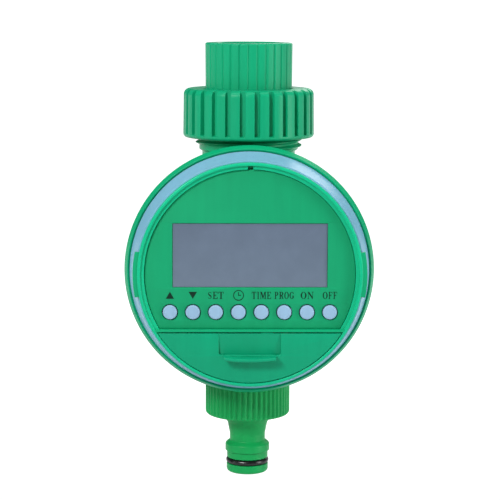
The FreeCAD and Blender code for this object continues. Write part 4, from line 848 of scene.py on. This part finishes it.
def letter_outlines(letter):
    """A roman capital with serifs, a unit wide and high: its outline, and any hole in it."""
    arm = [(0.38, 0.47), (0.6, 0.47), (0.63, 0.36), (0.7, 0.36), (0.7, 0.66), (0.63, 0.66), (0.6, 0.55),
           (0.38, 0.55)]
    head = [(0.38, 0.92), (0.84, 0.92), (0.9, 0.72), (0.98, 0.72), (0.98, 1)]
    bowl_hole = np.concatenate([[(0.38, 0.53)], oval(0.5, 0.73, 0.21, 0.2, -90, 90), [(0.38, 0.93)]])
    if letter == "O":
        return [oval(0.5, 0.5, 0.5, 0.5, 0, 350, 36), oval(0.5, 0.5, 0.26, 0.44, 0, 350, 36)]
    if letter == "S":
        return serif_s()
    if letter == "P":
        return stemmed([bowl_hole], [(0.38, 0.46)] + list(oval(0.54, 0.73, 0.42, 0.27, -90, 90)))
    if letter == "R":
        leg = [(0.38, 0.46), (0.46, 0.46), (0.76, 0), (1.0, 0), (1.0, 0.06), (0.93, 0.06), (0.7, 0.49)]
        return stemmed([bowl_hole], leg + list(oval(0.54, 0.74, 0.4, 0.26, -50, 90)))
    if letter == "F":
        return stemmed([], arm + head)
    if letter == "E":
        foot = [(0, 1), (0, 0.94), (0.15, 0.94), (0.15, 0.06), (0, 0.06), (0, 0), (1, 0), (1, 0.28),
                (0.92, 0.28), (0.85, 0.08), (0.38, 0.08)]
        return [np.array(foot + arm + head)]
    if letter == "G":
        back = oval(0.5, 0.5, 0.5, 0.5, 42, 305, 32)
        hollow = oval(0.5, 0.5, 0.27, 0.44, 300, 50, 32)
        beak = [(0.92, 0.66), (0.92, 0.92)]
        spur = [(0.92, 0.14), (0.92, 0.38), (1.0, 0.4), (1.0, 0.46), (0.58, 0.46), (0.58, 0.4), (0.7, 0.38)]
        return [np.concatenate([back, spur, hollow, beak])]
    plain = {
        "I": [(0.1, 0), (0.9, 0), (0.9, 0.06), (0.7, 0.06), (0.7, 0.94), (0.9, 0.94), (0.9, 1), (0.1, 1),
              (0.1, 0.94), (0.3, 0.94), (0.3, 0.06), (0.1, 0.06)],
        "T": [(0.22, 0), (0.78, 0), (0.78, 0.06), (0.62, 0.06), (0.62, 0.92), (0.88, 0.92), (0.93, 0.7),
              (1, 0.7), (1, 1), (0, 1), (0, 0.7), (0.07, 0.7), (0.12, 0.92), (0.38, 0.92), (0.38, 0.06),
              (0.22, 0.06)],
        "N": [(0, 0), (0.3, 0), (0.3, 0.06), (0.19, 0.06), (0.19, 0.76), (0.8, 0), (0.88, 0), (0.88, 0.94),
              (1, 0.94), (1, 1), (0.7, 1), (0.7, 0.94), (0.81, 0.94), (0.81, 0.32), (0.28, 1), (0, 1),
              (0, 0.94), (0.12, 0.94), (0.12, 0.06), (0, 0.06)],
        "M": [(0, 0), (0.25, 0), (0.25, 0.06), (0.16, 0.06), (0.16, 0.78), (0.45, 0), (0.5, 0), (0.76, 0.76),
              (0.76, 0.06), (0.67, 0.06), (0.67, 0), (1, 0), (1, 0.06), (0.92, 0.06), (0.92, 0.94), (1, 0.94),
              (1, 1), (0.74, 1), (0.52, 0.4), (0.3, 1), (0, 1), (0, 0.94), (0.09, 0.94), (0.09, 0.06),
              (0, 0.06)],
    }
    return [np.array(plain[letter])]


LETTER_WIDTHS = {
    "I": 0.5, "S": 0.75, "F": 0.85, "E": 0.9, "P": 0.9, "T": 0.95, "R": 1.05, "O": 1.05, "G": 1.05,
    "N": 1.1, "M": 1.3,
}


def word_meshes(word, x, y, width, height, low, high):
    """A printed word's letters, fitted to a width and a height about a place."""
    between = 0.16
    widths = [LETTER_WIDTHS[letter] for letter in word]
    unit = width / (sum(widths) + between * (len(word) - 1))
    start = x - width / 2
    for letter, share in zip(word, widths):
        size = (share * unit, height)
        outlines = [outline * size + (start, y - height / 2) for outline in letter_outlines(letter)]
        yield plate_mesh(outlines, low, high, 0.0)
        start += (share + between) * unit


def make_legends():
    """Printed marks over the buttons: two triangles, a clock face and plain function words."""
    y = LEGEND_ROW
    columns = list(button_columns())
    low, high = PLATE_FRONT - 0.01, PLATE_FRONT + 0.03
    half = 1.6
    tall = 1.35
    up = np.array([(-half, -tall), (half, -tall), (0, tall)]) + (columns[0], y)
    down = np.array([(-half, tall), (0, -tall), (half, tall)]) + (columns[1], y)
    marks = [plate_mesh([up], low, high, 0.0), plate_mesh([down], low, high, 0.0)]
    clock = columns[3]
    dial = [circle(2.05, clock, y), circle(1.72, clock, y)]
    long_hand = [rectangle(clock - 0.15, clock + 0.15, y - 0.15, y + 1.2)]
    short_hand = [rectangle(clock - 0.15, clock + 0.95, y - 0.15, y + 0.15)]
    marks.extend(plate_mesh(mark, low, high, 0.0) for mark in (dial, long_hand, short_hand))
    words = ((2, "SET", 6.0), (4, "TIME", 7.3), (5, "PROG", 7.4), (6, "ON", 4.9), (7, "OFF", 5.5))
    for k, word, width in words:
        marks.extend(word_meshes(word, columns[k], y, width, 2.75, low, high))
    set_piece(joined("legends", marks), "control_module", "ink", "black_epoxy")


def make_door():
    """The battery door: a flat segment notched for the finger scoop, the scoop's floor and the tab."""
    radius = 41.15
    half = 11.75
    tab_top = -30.45
    low = math.degrees(math.asin(-DOOR_TOP / radius))
    rim = arc(radius, 180 + low, 360 - low, 160)
    corner = rounded([(half, DOOR_TOP), (half, tab_top, 0.9), (-half, tab_top, 0.9), (-half, DOOR_TOP)],
                     closed=False, shoulder=9)
    skin = plate_mesh([np.concatenate([rim, corner])], 39.2, RING_FRONT, 0.22)
    scoop = rounded([
        (DOOR_TOP - 0.02, 39.25), (DOOR_TOP - 0.02, RING_FRONT - 0.17, 0.12),
        (tab_top - 0.5, RING_FRONT - 1.15), (tab_top - 0.5, 39.25),
    ])
    floor = plate_mesh([scoop], -half - 0.3, half + 0.3, 0.02, across_dial)
    tab_half, bow, depth = 9.95, 0.7, 1.2
    upper = bowed(-tab_half, tab_half, tab_top, bow)
    lower = bowed(tab_half - 0.2, 0.2 - tab_half, tab_top - depth, bow)
    tab = plate_mesh([np.concatenate([upper, lower])], 38.9, 46.0, 0.36)
    nib = plate_mesh([rectangle(4.35, 8.85, DOOR_TOP - 0.3, DOOR_TOP + 0.2, 0.1)], 39.7, 40.6, 0.1)
    hooks = [plate_mesh([rectangle(x - 1.4, x + 1.4, -41.9, -39.6, 0.2)], 39.2, 39.9, 0.1) for x in (-4, 4)]
    door = joined("door", [skin, floor, tab, nib] + hooks)
    set_piece(door, "battery_door", "door", "green_shell", "battery_door")


def bowed(x0, x1, y, bow, count=24):
    """A line from x0 to x1 that sags by bow in its middle, as a parabola."""
    share = np.linspace(0, 1, count)
    return np.stack([x0 + (x1 - x0) * share, y - bow * 4 * share * (1 - share)], -1)


# ---- outlet ----------------------------------------------------------------------------------------


def make_outlet():
    """The outlet fitting: a skirt with fine ribs, a thin ring under it and the hose nipple.

    Between two ribs the skirt sinks as a raised cosine to the power 1.4, and not past the roundings at
    its ends.
    """
    top, end = OUTLET_HIGH[2], OUTLET_LOW[2]
    skirt_end = end + 23.9
    radius = OUTLET_HIGH[0]
    ribs = 50
    inner = 13.47
    seat = end + 24.9
    path = rounded([
        (inner, top, 0.3), (radius, top, 0.5), (radius, skirt_end, 1.3), (9.8, skirt_end, 0.5),
        (9.6, skirt_end - 1.0, 0.4), (8.0, end + 20.2, 2.5), (7.1, end + 15.7, 3.0), (7.1, end + 13.0, 0.5),
        (8.85, end + 11.55, 1.0), (8.85, end + 8.65, 0.3), (8.2, end + 8.65), (8.2, end + 5.85, 0.3),
        (6.4, end + 5.85), (6.4, end + 3.45), (8.33, end + 3.45, 0.3), (8.33, end, 1.3), (5.6, end, 0.5),
        (5.6, seat), (inner, seat),
    ])
    path = finer(path, 1.0, lambda r, h: r > 15 and h < top - 0.8)
    path = finer(path, 0.3, lambda r, h: r > 13.9 and h < skirt_end + 1.6)
    path = finer(path, 0.2, lambda r, h: abs(r - inner) < 0.01 and seat < h)
    first = math.radians(-90.9)

    def shape(r, h, angle):
        sink = 0.6 * (0.5 + 0.5 * np.cos(ribs * (angle - first))) ** 1.4
        spare = np.clip(r - (radius - 0.65), 0, None)
        outer = r - np.minimum(sink, spare) * (h > skirt_end - 0.01)
        inside = r - thread(h, angle, -140.98, 1.814, 1.1, 0.12, 0.74, 3.0)
        return np.where(r > 15.5, outer, np.where(np.abs(r - inner) < 0.01, inside, r))

    set_piece(turned("outlet", path, even(ribs * 12, first), shape=shape), "outlet_fitting", "outlet",
              "green_outlet", "outlet_fitting")
    ring_low, ring_high = box_mm("nipple_o_ring")
    middle = (ring_low[2] + ring_high[2]) / 2
    section = (ring_high[2] - ring_low[2]) / 2
    # a round section with the faint flash line that the mould leaves on its equator
    turn = even(32)
    flash = 0.03 * np.exp(-(((turn + math.pi) % (2 * math.pi) - math.pi) / 0.12) ** 2)
    wide = ring_high[0] - section - 0.03 + (section + flash) * np.cos(turn)
    ring = np.stack([wide, middle + section * np.sin(turn)], -1)
    set_piece(turned("nipple_ring", ring, even(128)), "outlet_fitting", "rubber", "black_rubber",
              "nipple_o_ring")


# ---- everything that keeps its CAD shape -----------------------------------------------------------

KEPT = {
    "shell": ("green_shell", ["rear_cover", "control_back"]),
    "rubber": ("black_rubber", ["rear_cover_seal", "union_seal", "tap_washer", "outlet_washer",
                                "stem_o_rings"]),
    "ptfe": ("white_ptfe", ["upper_ball_seat", "lower_ball_seat"]),
    "acetal": ("white_acetal", ["seat_retainer", "slip_ring", "output_gear", "idler_gear", "gearbox_base",
                                "gearbox_cover"]),
    "nylon": ("filter_nylon", ["inlet_filter"]),
    "chrome": ("chrome_brass", ["valve_ball"]),
    "brass": ("brass", ["valve_stem", "gland_nut", "motor_pinion"]),
    "steel": ("zinc_steel", ["gearbox_screws", "control_screws", "gear_motor", "idler_axle", "motor_shaft",
                             "battery_contacts"]),
    "laminate": ("circuit_laminate", ["circuit_board", "connector_board"]),
    "epoxy": ("black_epoxy", ["controller_chip", "board_components", "pin_header", "board_socket"]),
    "silicone": ("grey_silicone", ["keypad_mat", "zebra_strips"]),
    "wire": ("black_insulation", ["motor_leads"]),
    "sleeve": ("cell_sleeve", ["front_cell", "rear_cell"]),
    "glass": ("display_glass", ["lcd_glass"]),
}


def make_kept():
    """The pieces that are seen little or not at all."""
    for material, (slot, members) in KEPT.items():
        for member in members:
            welded(member, material, slot)


# ---- stage, light and camera -----------------------------------------------------------------------


def make_stage():
    """A pale floor well below the hanging timer, which glows more behind it and farther away."""
    reach, level = 300.0, -0.31
    floor_mesh = bpy.data.meshes.new("floor")
    floor_mesh.from_pydata([(-reach, -reach, level), (reach, -reach, level), (reach, reach, level),
                            (-reach, reach, level)], [], [(0, 1, 2, 3)])
    floor = bpy.data.objects.new("floor", floor_mesh)
    bpy.context.scene.collection.objects.link(floor)
    material, tree, place, shader = new_material("studio_paper_pale")
    fibre = node(tree, "ShaderNodeTexNoise", {
        "Vector": (place, "Object"), "Scale": 1 / (40 * MM), "Detail": 3.0})
    tone = spread(tree, (fibre, "Fac"), 0.0, 1.0)
    mix = blend_colours(tree, (tone, "Result"), colour("C6C6C6"), colour("CACACA"))
    split = node(tree, "ShaderNodeSeparateXYZ", {"Vector": (place, "Object")})
    behind = spread(tree, (split, "Y"), 0.0, 0.6, 0.15, 0.7)
    away = node(tree, "ShaderNodeVectorMath", {0: (place, "Object")}, operation="LENGTH")
    around = spread(tree, (away, "Value"), 0.12, 0.5, 0.4, 1.0)
    lit = node(tree, "ShaderNodeMath", {0: (behind, "Result"), 1: (around, "Result")}, operation="ADD")
    tree.links.new(mix.outputs[2], shader.inputs["Base Color"])
    tree.links.new(lit.outputs["Value"], shader.inputs["Emission Strength"])
    shader.inputs["Emission Color"].default_value = (1, 1, 1, 1)
    shader.inputs["Roughness"].default_value = 0.9
    floor_mesh.materials.append(material)
    world = bpy.data.worlds.new("studio")
    bpy.context.scene.world = world
    world.use_nodes = True
    world.node_tree.nodes["Background"].inputs["Color"].default_value = colour("EDF3FA")
    world.node_tree.nodes["Background"].inputs["Strength"].default_value = 0.14


def soft_light(name, place, aim, width, height, power):
    """A rectangular softbox at a place, facing its aim, in metres and watts."""
    lamp = bpy.data.lights.new(name, "AREA")
    lamp.shape = "RECTANGLE"
    lamp.size = width
    lamp.size_y = height
    lamp.energy = power
    box = bpy.data.objects.new(name, lamp)
    bpy.context.scene.collection.objects.link(box)
    direction = Vector(aim) - Vector(place)
    box.location = place
    box.rotation_euler = direction.to_track_quat("-Z", "Y").to_euler()


def make_lights():
    """A key light, a softbox above, a strip on each side and a fill behind."""
    centre = (0, 0, DIAL_Z * MM)
    soft_light("key", (-0.50, -0.80, 0.50), centre, 0.28, 0.28, 9.3)
    soft_light("overhead", (0.05, -0.18, 0.75), centre, 0.9, 0.4, 4.0)
    soft_light("right_strip", (0.85, -0.30, 0.0), centre, 0.25, 0.9, 6.0)
    soft_light("left_strip", (-0.85, -0.20, 0.0), centre, 0.18, 0.9, 1.0)
    soft_light("rear_fill", (0.3, 0.95, 0.5), centre, 0.6, 0.6, 4.0)


def make_camera():
    """The camera looks a little down at the timer, from slightly left, with a long lens."""
    pitch = math.radians(8.0)
    turn = math.radians(-1.2)
    roll = math.radians(0.24)
    distance = 0.729
    aim = Vector((0.75 * MM, 0, -82.16 * MM))
    away = Vector((math.sin(turn) * math.cos(pitch), -math.cos(turn) * math.cos(pitch), math.sin(pitch)))
    right = Vector((math.cos(turn), math.sin(turn), 0))
    up = away.cross(right)
    level = Matrix((right, up, away)).transposed()
    camera_data = bpy.data.cameras.new("camera")
    camera_data.sensor_width = 36.0
    camera_data.lens = 131.76
    camera_data.clip_start = 0.01
    camera_data.clip_end = 1000
    camera = bpy.data.objects.new("camera", camera_data)
    bpy.context.scene.collection.objects.link(camera)
    camera.matrix_world = Matrix.Translation(aim + away * distance) @ (
        level @ Matrix.Rotation(roll, 3, "Z")).to_4x4()
    bpy.context.scene.camera = camera
    bpy.context.scene.view_settings.view_transform = "Standard"


make_camera()
make_barrel()
make_nut()
make_housing()
make_screws()
make_case()
make_seal()
make_face()
make_legends()
make_door()
make_outlet()
make_kept()
make_stage()
make_lights()
